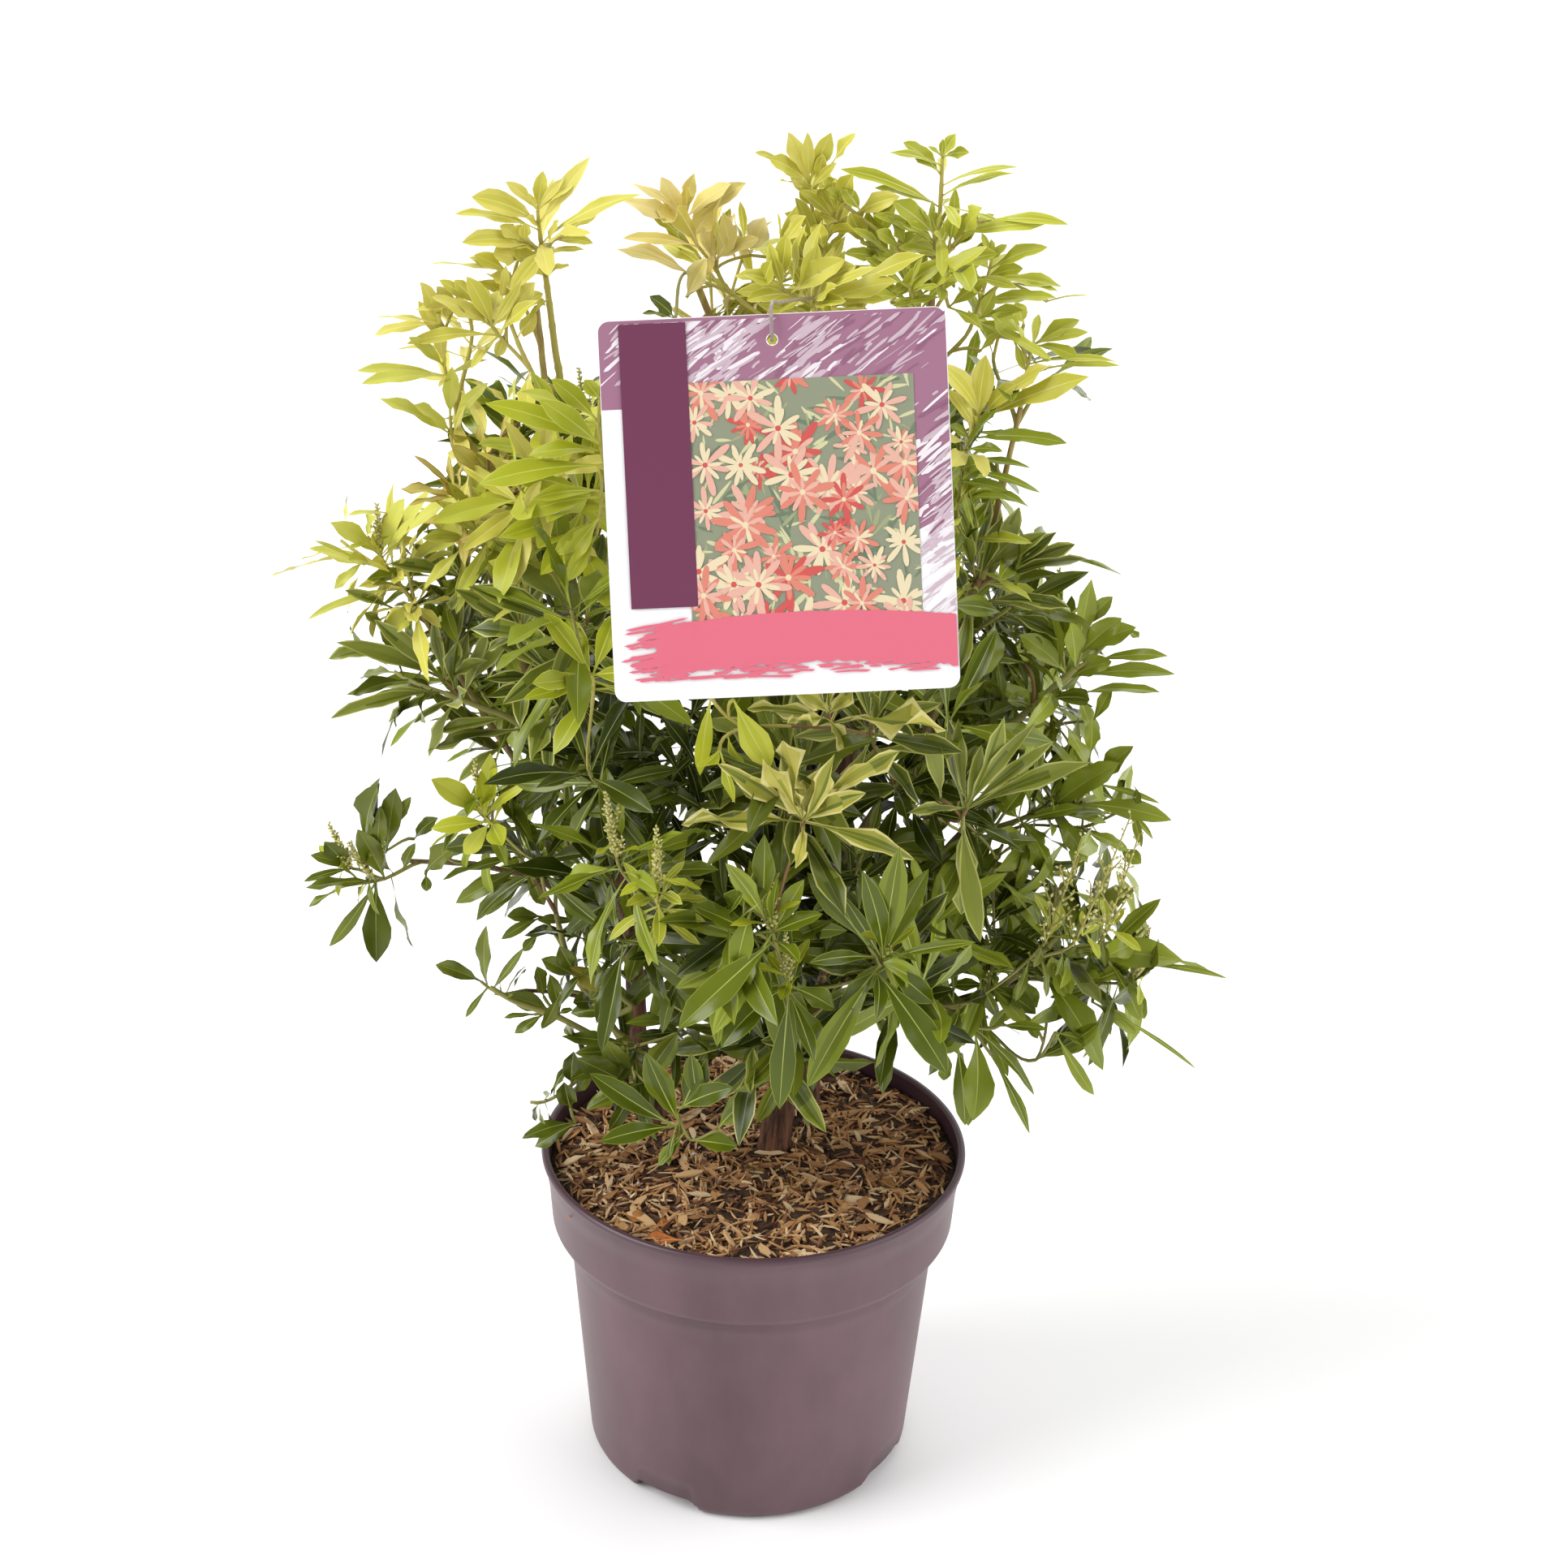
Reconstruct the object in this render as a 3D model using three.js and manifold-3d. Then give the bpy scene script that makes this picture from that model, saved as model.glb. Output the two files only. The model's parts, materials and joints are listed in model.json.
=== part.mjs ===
// Pieris shrub in a plastic nursery pot, with its hanging card.
// Millimetres, +Z up. The origin is the centre of the pot's flat underside.
import * as THREE from 'three';
import { mergeVertices } from 'three/addons/utils/BufferGeometryUtils.js';
import Module from 'manifold-3d';

const wasm = await Module();
wasm.setup();

// ---------------------------------------------------------------- driving dimensions
const GAP = 0.3;            // clearance where two pieces touch
const MASS_GAP = 1.0;       // clearance between neighbouring masses of foliage

const POT_HEIGHT = 185;
const POT_WALL = 2.0;
const POT_FLOOR = 3.0;
const RIM_RADIUS = 115;
const COLLAR_TOP_RADIUS = 111;
const COLLAR_FOOT_RADIUS = 109.6;
const COLLAR_TOP_DROP = 20;     // below the rim
const COLLAR_FOOT_DROP = 40;
const SHOULDER_HEIGHT = 7;
const BODY_TOP_RADIUS = 100.5;
const BODY_FOOT_RADIUS = 89.5;
const FOOT_ROUNDING = 7;
const LIP_HEIGHT = 7;           // plain band round the outside of the rim
const LIP_CHAMFER = 1.3;
const LIP_WALL = 3.0;
const LIP_STEP = 6;             // height of the thicker wall inside the rim
const POT_SIDES = 26;

const ARCH_WIDTH = 42;          // drain arches in the foot of the wall
const ARCH_HEIGHT = 9;
const ARCH_DEPTH = 16;
const ARCH_SHOULDER = 4.5;      // height of the sloping corners
const ARCH_OVERRUN = 20;        // how far the cutting block runs past the pot
const ARCH_LINER = 2;
const ARCH_AZIMUTHS = [60, 150, 240, 330];

const COMPOST_TOP = 173;

const CARD_WIDTH = 150;
const CARD_HEIGHT = 164;
const CARD_THICKNESS = 0.8;
const CARD_CORNER = 5;
const CARD_CENTRE = [6.5, -132, 586];
const CARD_LEAN = 20;           // degrees that the top leans back
const CARD_TURN = 4.0;          // degrees that it hangs out of square
const HOLE_RADIUS = 2.5;
const HOLE_DROP = 11;           // hole centre below the top edge
const CARD_TOP = CARD_HEIGHT / 2;
const HOLE_HEIGHT = CARD_TOP - HOLE_DROP;
const WIRE_RADIUS = 0.8;
const WIRE_FACETS = 24;

const LIMB_SIDES = 6;
const STEM_SIDES = 8;
const LIMB_STEP = 42;           // length of one facet along a limb
const FLARE_FADE = 14;          // how fast a stem narrows above its foot
const BARK_BROWN = '#5b4334';
const TWIG_BROWN = '#76603a';

// ---------------------------------------------------------------- solids
function toSolid(geometry) {
  const bare = geometry.index ? geometry.clone() : geometry;
  bare.deleteAttribute('normal');
  bare.deleteAttribute('uv');
  const merged = mergeVertices(bare, 1e-4);
  const vertProperties = new Float32Array(merged.attributes.position.array);
  const triVerts = new Uint32Array(merged.index.array);
  return new wasm.Manifold(new wasm.Mesh({ numProp: 3, vertProperties, triVerts }));
}

function toGeometry(solid) {
  const mesh = solid.getMesh();
  const geometry = new THREE.BufferGeometry();
  const position = [];
  for (let i = 0; i < mesh.vertProperties.length; i += mesh.numProp) {
    position.push(...mesh.vertProperties.slice(i, i + 3));
  }
  geometry.setAttribute('position', new THREE.Float32BufferAttribute(position, 3));
  geometry.setIndex(Array.from(mesh.triVerts));
  return geometry;
}

function largestBody(solid) {
  const bodies = solid.decompose();
  return bodies.reduce((best, body) => (body.volume() > best.volume() ? body : best));
}

function boxesMeet(a, b) {
  const p = a.boundingBox();
  const q = b.boundingBox();
  return [0, 1, 2].every((k) => p.min[k] < q.max[k] && q.min[k] < p.max[k]);
}

function cutClear(solid, cutters) {
  const near = cutters.filter((cutter) => boxesMeet(solid, cutter));
  const cut = near.reduce((left, cutter) => left.subtract(cutter), solid);
  return largestBody(cut);
}

function turned(profile) {
  const points = profile.map(([radius, height]) => new THREE.Vector2(radius, height));
  return toSolid(new THREE.LatheGeometry(points, POT_SIDES).rotateX(Math.PI / 2));
}

// ---------------------------------------------------------------- pot and compost
const COLLAR_TOP = POT_HEIGHT - COLLAR_TOP_DROP;
const COLLAR_FOOT = POT_HEIGHT - COLLAR_FOOT_DROP;

// The wall's outline from its foot to the collar, moved in by the given amount.
function wallOutline(inset, shoulderParts = [0, 0.4, 1]) {
  const step = COLLAR_FOOT_RADIUS - BODY_TOP_RADIUS;
  const shoulder = shoulderParts.map((part) => {
    const angle = part * Math.PI / 2;
    const height = COLLAR_FOOT - SHOULDER_HEIGHT * Math.cos(angle);
    return [BODY_TOP_RADIUS + step * Math.sin(angle) - inset, height];
  });
  return [...shoulder, [COLLAR_TOP_RADIUS - inset, COLLAR_TOP]];
}

function footRounding(radius, height, rounding) {
  return [0, 0.5, 1].map((part) => {
    const angle = part * Math.PI / 2;
    const inward = rounding * (1 - Math.sin(angle));
    return [radius - inward, height + rounding * (1 - Math.cos(angle))];
  });
}

function makePotShell() {
  const outer = [
    [0, 0],
    ...footRounding(BODY_FOOT_RADIUS, 0, FOOT_ROUNDING),
    ...wallOutline(0),
    [RIM_RADIUS, POT_HEIGHT - LIP_HEIGHT],
    [RIM_RADIUS, POT_HEIGHT - LIP_CHAMFER],
    [RIM_RADIUS - LIP_CHAMFER, POT_HEIGHT],
  ];
  const inner = [
    [0, POT_FLOOR],
    ...footRounding(BODY_FOOT_RADIUS - POT_WALL, POT_FLOOR, FOOT_ROUNDING - POT_WALL),
    ...wallOutline(POT_WALL),
    [RIM_RADIUS - LIP_WALL, POT_HEIGHT - LIP_STEP],
    [RIM_RADIUS - LIP_WALL, POT_HEIGHT],
  ];
  return turned([...outer, ...inner.reverse()]);
}

function makeCompostFill() {
  const inset = POT_WALL + GAP;
  const floor = POT_FLOOR + GAP;
  const rise = (COMPOST_TOP - COLLAR_TOP) / (POT_HEIGHT - LIP_STEP - COLLAR_TOP);
  const collarInside = COLLAR_TOP_RADIUS - POT_WALL;
  const topRadius = THREE.MathUtils.lerp(collarInside, RIM_RADIUS - LIP_WALL, rise) - GAP;
  return turned([
    [0, floor],
    ...footRounding(BODY_FOOT_RADIUS - inset, floor, FOOT_ROUNDING - POT_WALL),
    ...wallOutline(inset, [0, 1]),
    [topRadius, COMPOST_TOP],
    [0, COMPOST_TOP],
  ]);
}

// A block with sloping shoulders that reaches in through the foot of the wall.
function makeArch(azimuth, grow) {
  const half = ARCH_WIDTH / 2 + grow;
  const top = ARCH_HEIGHT + grow;
  const outline = new THREE.Shape();
  outline.moveTo(-half, -ARCH_OVERRUN);
  outline.lineTo(half, -ARCH_OVERRUN);
  outline.lineTo(half, top - ARCH_SHOULDER);
  outline.lineTo(half - ARCH_SHOULDER, top);
  outline.lineTo(ARCH_SHOULDER - half, top);
  outline.lineTo(-half, top - ARCH_SHOULDER);
  const depth = ARCH_DEPTH + grow + ARCH_OVERRUN;
  const geometry = new THREE.ExtrudeGeometry(outline, { depth, bevelEnabled: false });
  geometry.rotateX(Math.PI / 2);
  geometry.translate(0, BODY_FOOT_RADIUS + ARCH_OVERRUN, 0);
  geometry.rotateZ(THREE.MathUtils.degToRad(azimuth - 90));
  return toSolid(geometry);
}

function makePotEnvelope() {
  return turned([
    [0, 0],
    ...footRounding(BODY_FOOT_RADIUS, 0, FOOT_ROUNDING),
    ...wallOutline(0),
    [0, COLLAR_TOP],
  ]);
}

const potEnvelope = makePotEnvelope();
const liners = ARCH_AZIMUTHS.map((azimuth) => makeArch(azimuth, ARCH_LINER).intersect(potEnvelope));
const arches = ARCH_AZIMUTHS.map((azimuth) => makeArch(azimuth, 0));
const linedPot = liners.reduce((pot, liner) => pot.add(liner), makePotShell());
const potSolid = arches.reduce((pot, arch) => pot.subtract(arch), linedPot);
const archRooms = ARCH_AZIMUTHS.map((azimuth) => makeArch(azimuth, ARCH_LINER + GAP));
const compostSolid = archRooms.reduce((fill, room) => fill.subtract(room), makeCompostFill());

// ---------------------------------------------------------------- stems and boughs
// A route runs through a few points; radii are given at its foot and at its end.
const SOIL = COMPOST_TOP + GAP;
const FOOT = SOIL - 6;          // routes of stems start just below the soil and are cut flat at it
const STEMS = [
  {
    name: 'stem_front', foot: 6.0, end: 3.6, flare: 4.5,
    route: [[10, 8, FOOT], [12, 8, 190], [21, 8, 240], [36, 10, 330], [44, 10, 430]],
  },
  {
    name: 'stem_left', foot: 6.2, end: 3.4, flare: 4.0,
    route: [
      [-56, 37, FOOT], [-60, 38, 190], [-69, 40, 225],
      [-66, 42, 275], [-80, 28, 345], [-90, 18, 430],
    ],
  },
  {
    name: 'stem_back', foot: 5.4, end: 3.2, flare: 3.5,
    route: [[28, 60, FOOT], [29, 63, 190], [34, 74, 260], [24, 84, 360], [12, 78, 450]],
  },
];

const BOUGHS = [
  {
    name: 'bough_top_left', foot: 3.0, end: 1.9,
    route: [[-90, 18, 412], [-100, 2, 520], [-110, -6, 640]],
  },
  {
    name: 'bough_upper_left', foot: 2.8, end: 1.8,
    route: [[-84, 24, 372], [-128, 10, 470], [-150, 2, 585]],
  },
  {
    name: 'bough_left_shoulder', foot: 2.6, end: 1.7,
    route: [[-75, 34, 318], [-125, 8, 400], [-172, -6, 490]],
  },
  {
    name: 'bough_far_left', foot: 2.4, end: 1.6,
    route: [[-67, 41, 280], [-125, 26, 330], [-185, 12, 342]],
  },
  {
    name: 'bough_low_left', foot: 2.0, end: 1.4,
    route: [[-68, 40, 232], [-96, 24, 258], [-122, 6, 270]],
  },
  {
    name: 'bough_top_centre', foot: 2.8, end: 1.8,
    route: [[14, 79, 436], [0, 62, 540], [-36, 26, 645]],
  },
  {
    name: 'bough_top_mid', foot: 2.8, end: 1.8,
    route: [[43, 10, 415], [36, 2, 540], [19, 6, 680]],
  },
  {
    name: 'bough_top_right', foot: 2.8, end: 1.8,
    route: [[40, 10, 378], [68, 12, 520], [77, 2, 680]],
  },
  {
    name: 'bough_upper_right', foot: 2.8, end: 1.8,
    route: [[37, 10, 340], [92, 0, 450], [120, 0, 596]],
  },
  {
    name: 'bough_right', foot: 2.6, end: 1.7,
    route: [[30, 9, 295], [90, 4, 352], [148, 0, 436]],
  },
  {
    name: 'bough_low_right', foot: 2.4, end: 1.6,
    route: [[22, 8, 250], [80, -4, 268], [156, -2, 294]],
  },
  {
    name: 'bough_front', foot: 2.4, end: 1.5,
    route: [[18, 8, 222], [14, -30, 270], [8, -66, 345]],
  },
  {
    name: 'bough_back', foot: 2.8, end: 1.8,
    route: [[30, 80, 310], [20, 112, 380], [4, 132, 470]],
  },
];

// A closed tube of rings square to a smooth route, with flat ends.
function taperedTube(limb, sides, grow) {
  const curve = new THREE.CatmullRomCurve3(limb.route.map((point) => new THREE.Vector3(...point)));
  const steps = Math.max(4, Math.round(curve.getLength() / LIMB_STEP));
  const frames = curve.computeFrenetFrames(steps, false);
  const position = [];
  for (let i = 0; i <= steps; i += 1) {
    const along = i / steps;
    const flare = (limb.flare ?? 0) * Math.exp(-along * FLARE_FADE);
    const radius = THREE.MathUtils.lerp(limb.foot, limb.end, along) + flare + grow;
    const centre = curve.getPointAt(along);
    if (i === 0) centre.addScaledVector(frames.tangents[i], -grow);
    if (i === steps) centre.addScaledVector(frames.tangents[i], grow);
    for (let k = 0; k < sides; k += 1) {
      const angle = 2 * Math.PI * k / sides;
      const point = centre.clone();
      point.addScaledVector(frames.normals[i], radius * Math.cos(angle));
      point.addScaledVector(frames.binormals[i], radius * Math.sin(angle));
      position.push(point.x, point.y, point.z);
    }
  }
  const index = [];
  for (let i = 0; i < steps; i += 1) {
    for (let k = 0; k < sides; k += 1) {
      const a = i * sides + k;
      const b = i * sides + (k + 1) % sides;
      index.push(a, b, b + sides, a, b + sides, a + sides);
    }
  }
  const last = steps * sides;
  for (let k = 1; k < sides - 1; k += 1) {
    index.push(0, k + 1, k, last, last + k, last + k + 1);
  }
  const geometry = new THREE.BufferGeometry();
  geometry.setAttribute('position', new THREE.Float32BufferAttribute(position, 3));
  geometry.setIndex(index);
  return toSolid(geometry);
}

const limbs = [];
for (const limb of [...STEMS, ...BOUGHS]) {
  const isStem = STEMS.includes(limb);
  const sides = isStem ? STEM_SIDES : LIMB_SIDES;
  const rooms = limbs.map((earlier) => earlier.room);
  const tube = taperedTube(limb, sides, 0).trimByPlane([0, 0, 1], SOIL);
  const solid = cutClear(tube, rooms);
  limbs.push({ name: limb.name, isStem, solid, room: taperedTube(limb, sides, GAP) });
}

// ---------------------------------------------------------------- card and wire hook
const cardFrame = new THREE.Matrix4().multiplyMatrices(
  new THREE.Matrix4().makeTranslation(...CARD_CENTRE),
  new THREE.Matrix4().multiplyMatrices(
    new THREE.Matrix4().makeRotationX(THREE.MathUtils.degToRad(90 - CARD_LEAN)),
    new THREE.Matrix4().makeRotationZ(THREE.MathUtils.degToRad(CARD_TURN)),
  ),
);

// In the card's own frame X runs across it, Y up it and Z out of its printed face.
function onCard(x, y, z) {
  return new THREE.Vector3(x, y, z).applyMatrix4(cardFrame);
}

function cardOutline(grow) {
  const w = CARD_WIDTH / 2 + grow;
  const h = CARD_HEIGHT / 2 + grow;
  const r = CARD_CORNER;
  const outline = new THREE.Shape();
  outline.absarc(w - r, h - r, r, 0, Math.PI / 2);
  outline.absarc(r - w, h - r, r, Math.PI / 2, Math.PI);
  outline.absarc(r - w, r - h, r, Math.PI, 1.5 * Math.PI);
  outline.absarc(w - r, r - h, r, 1.5 * Math.PI, 2 * Math.PI);
  return outline;
}

function slab(outline, grow) {
  const depth = CARD_THICKNESS + 2 * grow;
  const geometry = new THREE.ExtrudeGeometry(outline, { depth, bevelEnabled: false, curveSegments: 3 });
  geometry.translate(0, 0, -depth / 2);
  return toSolid(geometry.applyMatrix4(cardFrame));
}

function makeCard() {
  const outline = cardOutline(0);
  const hole = new THREE.Path();
  hole.absarc(0, HOLE_HEIGHT, HOLE_RADIUS, 0, 2 * Math.PI, true);
  outline.holes.push(hole);
  return slab(outline, 0);
}

// The wire hooks round a bough, comes forward over the card's top edge and ends behind its hole.
function makeWire(radius) {
  const route = new THREE.CatmullRomCurve3([
    new THREE.Vector3(22.5, 9.4, 642.5),
    new THREE.Vector3(27.4, 7.6, 643.5),
    new THREE.Vector3(27.8, 2, 645.5),
    new THREE.Vector3(18, -42, 656),
    onCard(4, CARD_TOP + 7, -18),
    onCard(0.5, CARD_TOP + 5, -3),
    onCard(0, CARD_TOP - 1, 3.2),
    onCard(0, HOLE_HEIGHT + 2.2, 2.6),
    onCard(0, HOLE_HEIGHT, 0),
    onCard(0, HOLE_HEIGHT + 0.6, -3.6),
    onCard(0, HOLE_HEIGHT + 4.5, -5.2),
  ]);
  const section = new THREE.Shape();
  section.absarc(0, 0, radius, 0, 2 * Math.PI);
  const settings = { extrudePath: route, steps: WIRE_FACETS, curveSegments: 3, bevelEnabled: false };
  return toSolid(new THREE.ExtrudeGeometry(section, settings));
}

const cardSolid = makeCard();
const wireSolid = makeWire(WIRE_RADIUS);
const cardRoom = slab(cardOutline(1), 1);
const wireRoom = makeWire(WIRE_RADIUS + GAP);

// ---------------------------------------------------------------- masses of foliage
// name: centre x, y, z, then half-width, half-depth and half-height
const LIME = '#a9b82e';
const FRESH = '#7f9a35';
const DEEP = '#47652c';
const BRONZE = '#a08a3c';
const MASSES = [
  { name: 'leaves_top_left', at: [-114, -6, 670], half: [46, 40, 46], colour: LIME },
  { name: 'leaves_top_centre', at: [-40, 18, 670], half: [36, 36, 40], colour: BRONZE },
  { name: 'leaves_top_mid', at: [17, 6, 700], half: [30, 30, 28], colour: LIME },
  { name: 'leaves_top_mid_low', at: [22, -12, 652], half: [52, 48, 36], colour: LIME },
  { name: 'leaves_top_right', at: [78, 0, 700], half: [42, 38, 28], colour: LIME },
  { name: 'leaves_top_right_low', at: [106, 2, 660], half: [50, 46, 32], colour: FRESH },
  { name: 'leaves_upper_left', at: [-150, 0, 610], half: [50, 46, 42], colour: LIME },
  { name: 'leaves_left_fork', at: [-95, -62, 574], half: [44, 48, 56], colour: LIME },
  { name: 'leaves_upper_right', at: [122, 0, 618], half: [50, 46, 32], colour: FRESH },
  { name: 'leaves_upper_right_low', at: [108, -12, 574], half: [48, 50, 38], colour: FRESH },
  { name: 'leaves_left_shoulder', at: [-184, -8, 513], half: [52, 50, 42], colour: LIME },
  { name: 'leaves_left_bronze', at: [-133, -28, 548], half: [44, 46, 40], colour: BRONZE },
  { name: 'leaves_left_mid', at: [-170, 2, 456], half: [54, 52, 44], colour: DEEP },
  { name: 'leaves_right_shoulder', at: [120, -4, 515], half: [50, 52, 46], colour: DEEP },
  { name: 'leaves_right_mid', at: [161, -8, 461], half: [50, 50, 44], colour: DEEP },
  { name: 'leaves_left_inner', at: [-98, -78, 497], half: [50, 52, 54], colour: DEEP },
  { name: 'leaves_left_low', at: [-136, -30, 400], half: [54, 56, 46], colour: DEEP },
  { name: 'leaves_right_low', at: [164, -8, 398], half: [52, 52, 46], colour: DEEP },
  { name: 'leaves_core', at: [0, 4, 500], half: [84, 76, 96], colour: DEEP },
  { name: 'leaves_centre_mid', at: [17, -108, 450], half: [60, 52, 50], colour: DEEP },
  { name: 'leaves_centre_right', at: [96, -82, 438], half: [54, 56, 54], colour: DEEP },
  { name: 'leaves_centre_left', at: [-52, -94, 440], half: [52, 54, 48], colour: DEEP },
  { name: 'leaves_low_centre', at: [7, -98, 374], half: [58, 54, 48], colour: DEEP },
  { name: 'leaves_low_centre_right', at: [72, -80, 330], half: [56, 56, 50], colour: DEEP },
  { name: 'leaves_low_right_tip', at: [188, -6, 302], half: [64, 52, 46], colour: DEEP },
  { name: 'leaves_low_right', at: [122, -36, 268], half: [46, 50, 46], colour: DEEP },
  { name: 'leaves_low_left_centre', at: [-75, -56, 352], half: [54, 56, 48], colour: DEEP },
  { name: 'leaves_low_left_twig', at: [-134, 0, 277], half: [42, 38, 28], colour: DEEP },
  { name: 'leaves_low_front', at: [18, -56, 279], half: [44, 46, 44], colour: DEEP },
  { name: 'leaves_pot_front', at: [-60, -44, 224], half: [70, 48, 42], colour: FRESH },
  { name: 'leaves_far_left', at: [-204, 10, 343], half: [50, 48, 50], colour: DEEP },
  { name: 'leaves_back_top', at: [-22, 84, 634], half: [70, 58, 58], colour: LIME },
  { name: 'leaves_back_left_up', at: [-112, 84, 546], half: [68, 66, 66], colour: FRESH },
  { name: 'leaves_back_right_up', at: [84, 86, 560], half: [68, 66, 70], colour: FRESH },
  { name: 'leaves_back_left', at: [-124, 100, 424], half: [76, 72, 70], colour: DEEP },
  { name: 'leaves_back_right', at: [120, 100, 432], half: [76, 72, 70], colour: DEEP },
  { name: 'leaves_back_mid', at: [-6, 138, 496], half: [68, 58, 74], colour: DEEP },
  { name: 'leaves_back_low', at: [0, 130, 374], half: [70, 64, 66], colour: DEEP },
  { name: 'leaves_back_low_left', at: [-94, 98, 306], half: [62, 60, 52], colour: DEEP },
  { name: 'leaves_back_low_right', at: [106, 92, 308], half: [66, 62, 54], colour: DEEP },
];
const FOLIAGE_FLOOR = POT_HEIGHT + 2;
const COARSE_BELOW = 49;        // smaller masses take fewer facets
const LOBES = 9;
const LOBE_SHARPNESS = 9;
const HOLLOW = 0.82;            // reach between two lobes, as a share of the full reach
const LOBE_REACH = 0.3;

function seededRandom(seed) {
  let state = seed;
  return () => {
    state = (state + 0x6d2b79f5) | 0;
    let t = Math.imul(state ^ (state >>> 15), 1 | state);
    t = (t + Math.imul(t ^ (t >>> 7), 61 | t)) ^ t;
    return ((t ^ (t >>> 14)) >>> 0) / 4294967296;
  };
}

function lobeDirections(seed) {
  const random = seededRandom(seed);
  return Array.from({ length: LOBES }, () => {
    const height = 2 * random() - 1;
    const angle = 2 * Math.PI * random();
    const flat = Math.sqrt(1 - height * height);
    return new THREE.Vector3(flat * Math.cos(angle), flat * Math.sin(angle), height);
  });
}

const meanHalf = (mass) => (mass.half[0] + mass.half[1] + mass.half[2]) / 3;

// The plane between two masses lies nearer to the smaller one.
function dividingPlane(mass, other) {
  const toOther = new THREE.Vector3(...other.at).sub(new THREE.Vector3(...mass.at));
  const distance = toOther.length();
  const share = (distance ** 2 + meanHalf(mass) ** 2 - meanHalf(other) ** 2) / (2 * distance);
  return { normal: toOther.normalize(), reach: share - MASS_GAP / 2 };
}

function makeMass(mass, seed) {
  const others = MASSES.filter((other) => other !== mass);
  const planes = others.map((other) => dividingPlane(mass, other));
  planes.push({ normal: new THREE.Vector3(0, 0, -1), reach: mass.at[2] - FOLIAGE_FLOOR });
  const lobes = lobeDirections(seed);
  const geometry = new THREE.OctahedronGeometry(1, meanHalf(mass) > COARSE_BELOW ? 3 : 2);
  const position = geometry.attributes.position;
  const direction = new THREE.Vector3();
  for (let i = 0; i < position.count; i += 1) {
    direction.fromBufferAttribute(position, i).normalize();
    const [a, b, c] = mass.half;
    const plain = 1 / Math.hypot(direction.x / a, direction.y / b, direction.z / c);
    const nearest = Math.max(...lobes.map((lobe) => lobe.dot(direction)));
    let reach = plain * (HOLLOW + LOBE_REACH * Math.exp(LOBE_SHARPNESS * (nearest - 1)));
    for (const plane of planes) {
      const lean = plane.normal.dot(direction);
      if (lean > 1e-3) reach = Math.min(reach, plane.reach / lean);
    }
    position.setXYZ(i, direction.x * reach, direction.y * reach, direction.z * reach);
  }
  geometry.translate(...mass.at);
  return toSolid(geometry);
}

// ---------------------------------------------------------------- assembly
const FINISHES = {
  pot: { color: '#6f5660', roughness: 0.5 },
  compost: { color: '#6b5138', roughness: 0.95 },
  label_card: { color: '#e9e4ea', roughness: 0.45 },
  label_hook: { color: '#6d6462', roughness: 0.5 },
};

const group = new THREE.Group();

function addPiece(name, solid, finish) {
  const material = new THREE.MeshStandardMaterial({ metalness: 0, ...finish });
  const mesh = new THREE.Mesh(toGeometry(solid), material);
  mesh.name = name;
  group.add(mesh);
}

addPiece('pot', potSolid, FINISHES.pot);
addPiece('compost', compostSolid, FINISHES.compost);
for (const limb of limbs) {
  const color = limb.isStem ? BARK_BROWN : TWIG_BROWN;
  addPiece(limb.name, limb.solid, { color, roughness: 0.85 });
}
const foliageCutters = [...limbs.map((limb) => limb.room), cardRoom, wireRoom];
MASSES.forEach((mass, i) => {
  const solid = cutClear(makeMass(mass, 101 + i), foliageCutters);
  addPiece(mass.name, solid, { color: mass.colour, roughness: 0.7 });
});
addPiece('label_card', cardSolid, FINISHES.label_card);
addPiece('label_hook', wireSolid, FINISHES.label_hook);

export default group;
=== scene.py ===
"""A potted pieris shrub: bark, twigs, leaves and flower buds grown round a fixed frame, with pot and card."""

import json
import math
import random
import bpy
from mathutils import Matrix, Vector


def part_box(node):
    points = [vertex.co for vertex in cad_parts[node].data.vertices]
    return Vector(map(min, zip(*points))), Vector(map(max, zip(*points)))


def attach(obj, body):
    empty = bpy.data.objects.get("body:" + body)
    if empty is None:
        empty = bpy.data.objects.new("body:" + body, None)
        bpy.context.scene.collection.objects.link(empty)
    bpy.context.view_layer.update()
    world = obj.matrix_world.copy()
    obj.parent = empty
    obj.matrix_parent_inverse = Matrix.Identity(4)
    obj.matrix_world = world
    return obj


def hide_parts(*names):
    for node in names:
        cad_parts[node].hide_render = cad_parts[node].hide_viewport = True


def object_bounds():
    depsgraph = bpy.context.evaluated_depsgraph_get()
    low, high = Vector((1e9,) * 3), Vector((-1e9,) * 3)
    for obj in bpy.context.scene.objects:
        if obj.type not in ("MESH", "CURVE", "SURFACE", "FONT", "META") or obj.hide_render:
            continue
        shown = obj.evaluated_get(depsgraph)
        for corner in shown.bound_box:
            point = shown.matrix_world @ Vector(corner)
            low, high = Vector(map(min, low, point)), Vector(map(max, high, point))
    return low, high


bl_info = {
    "name": "Potted pieris shrub",
    "version": (1, 0, 0),
    "blender": (4, 5, 0),
    "location": "3D Viewport > Sidebar > Pieris",
    "description": "Grows a potted pieris with its bark, leaves, flower buds, mulch, pot and hanging card",
    "category": "Object",
}

from collections import namedtuple

import bmesh
import bpy
import numpy as np
from bpy.props import FloatProperty, FloatVectorProperty, IntProperty, PointerProperty
from mathutils import Matrix, Vector, noise
from mathutils.bvhtree import BVHTree
from mathutils.geometry import tessellate_polygon

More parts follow.
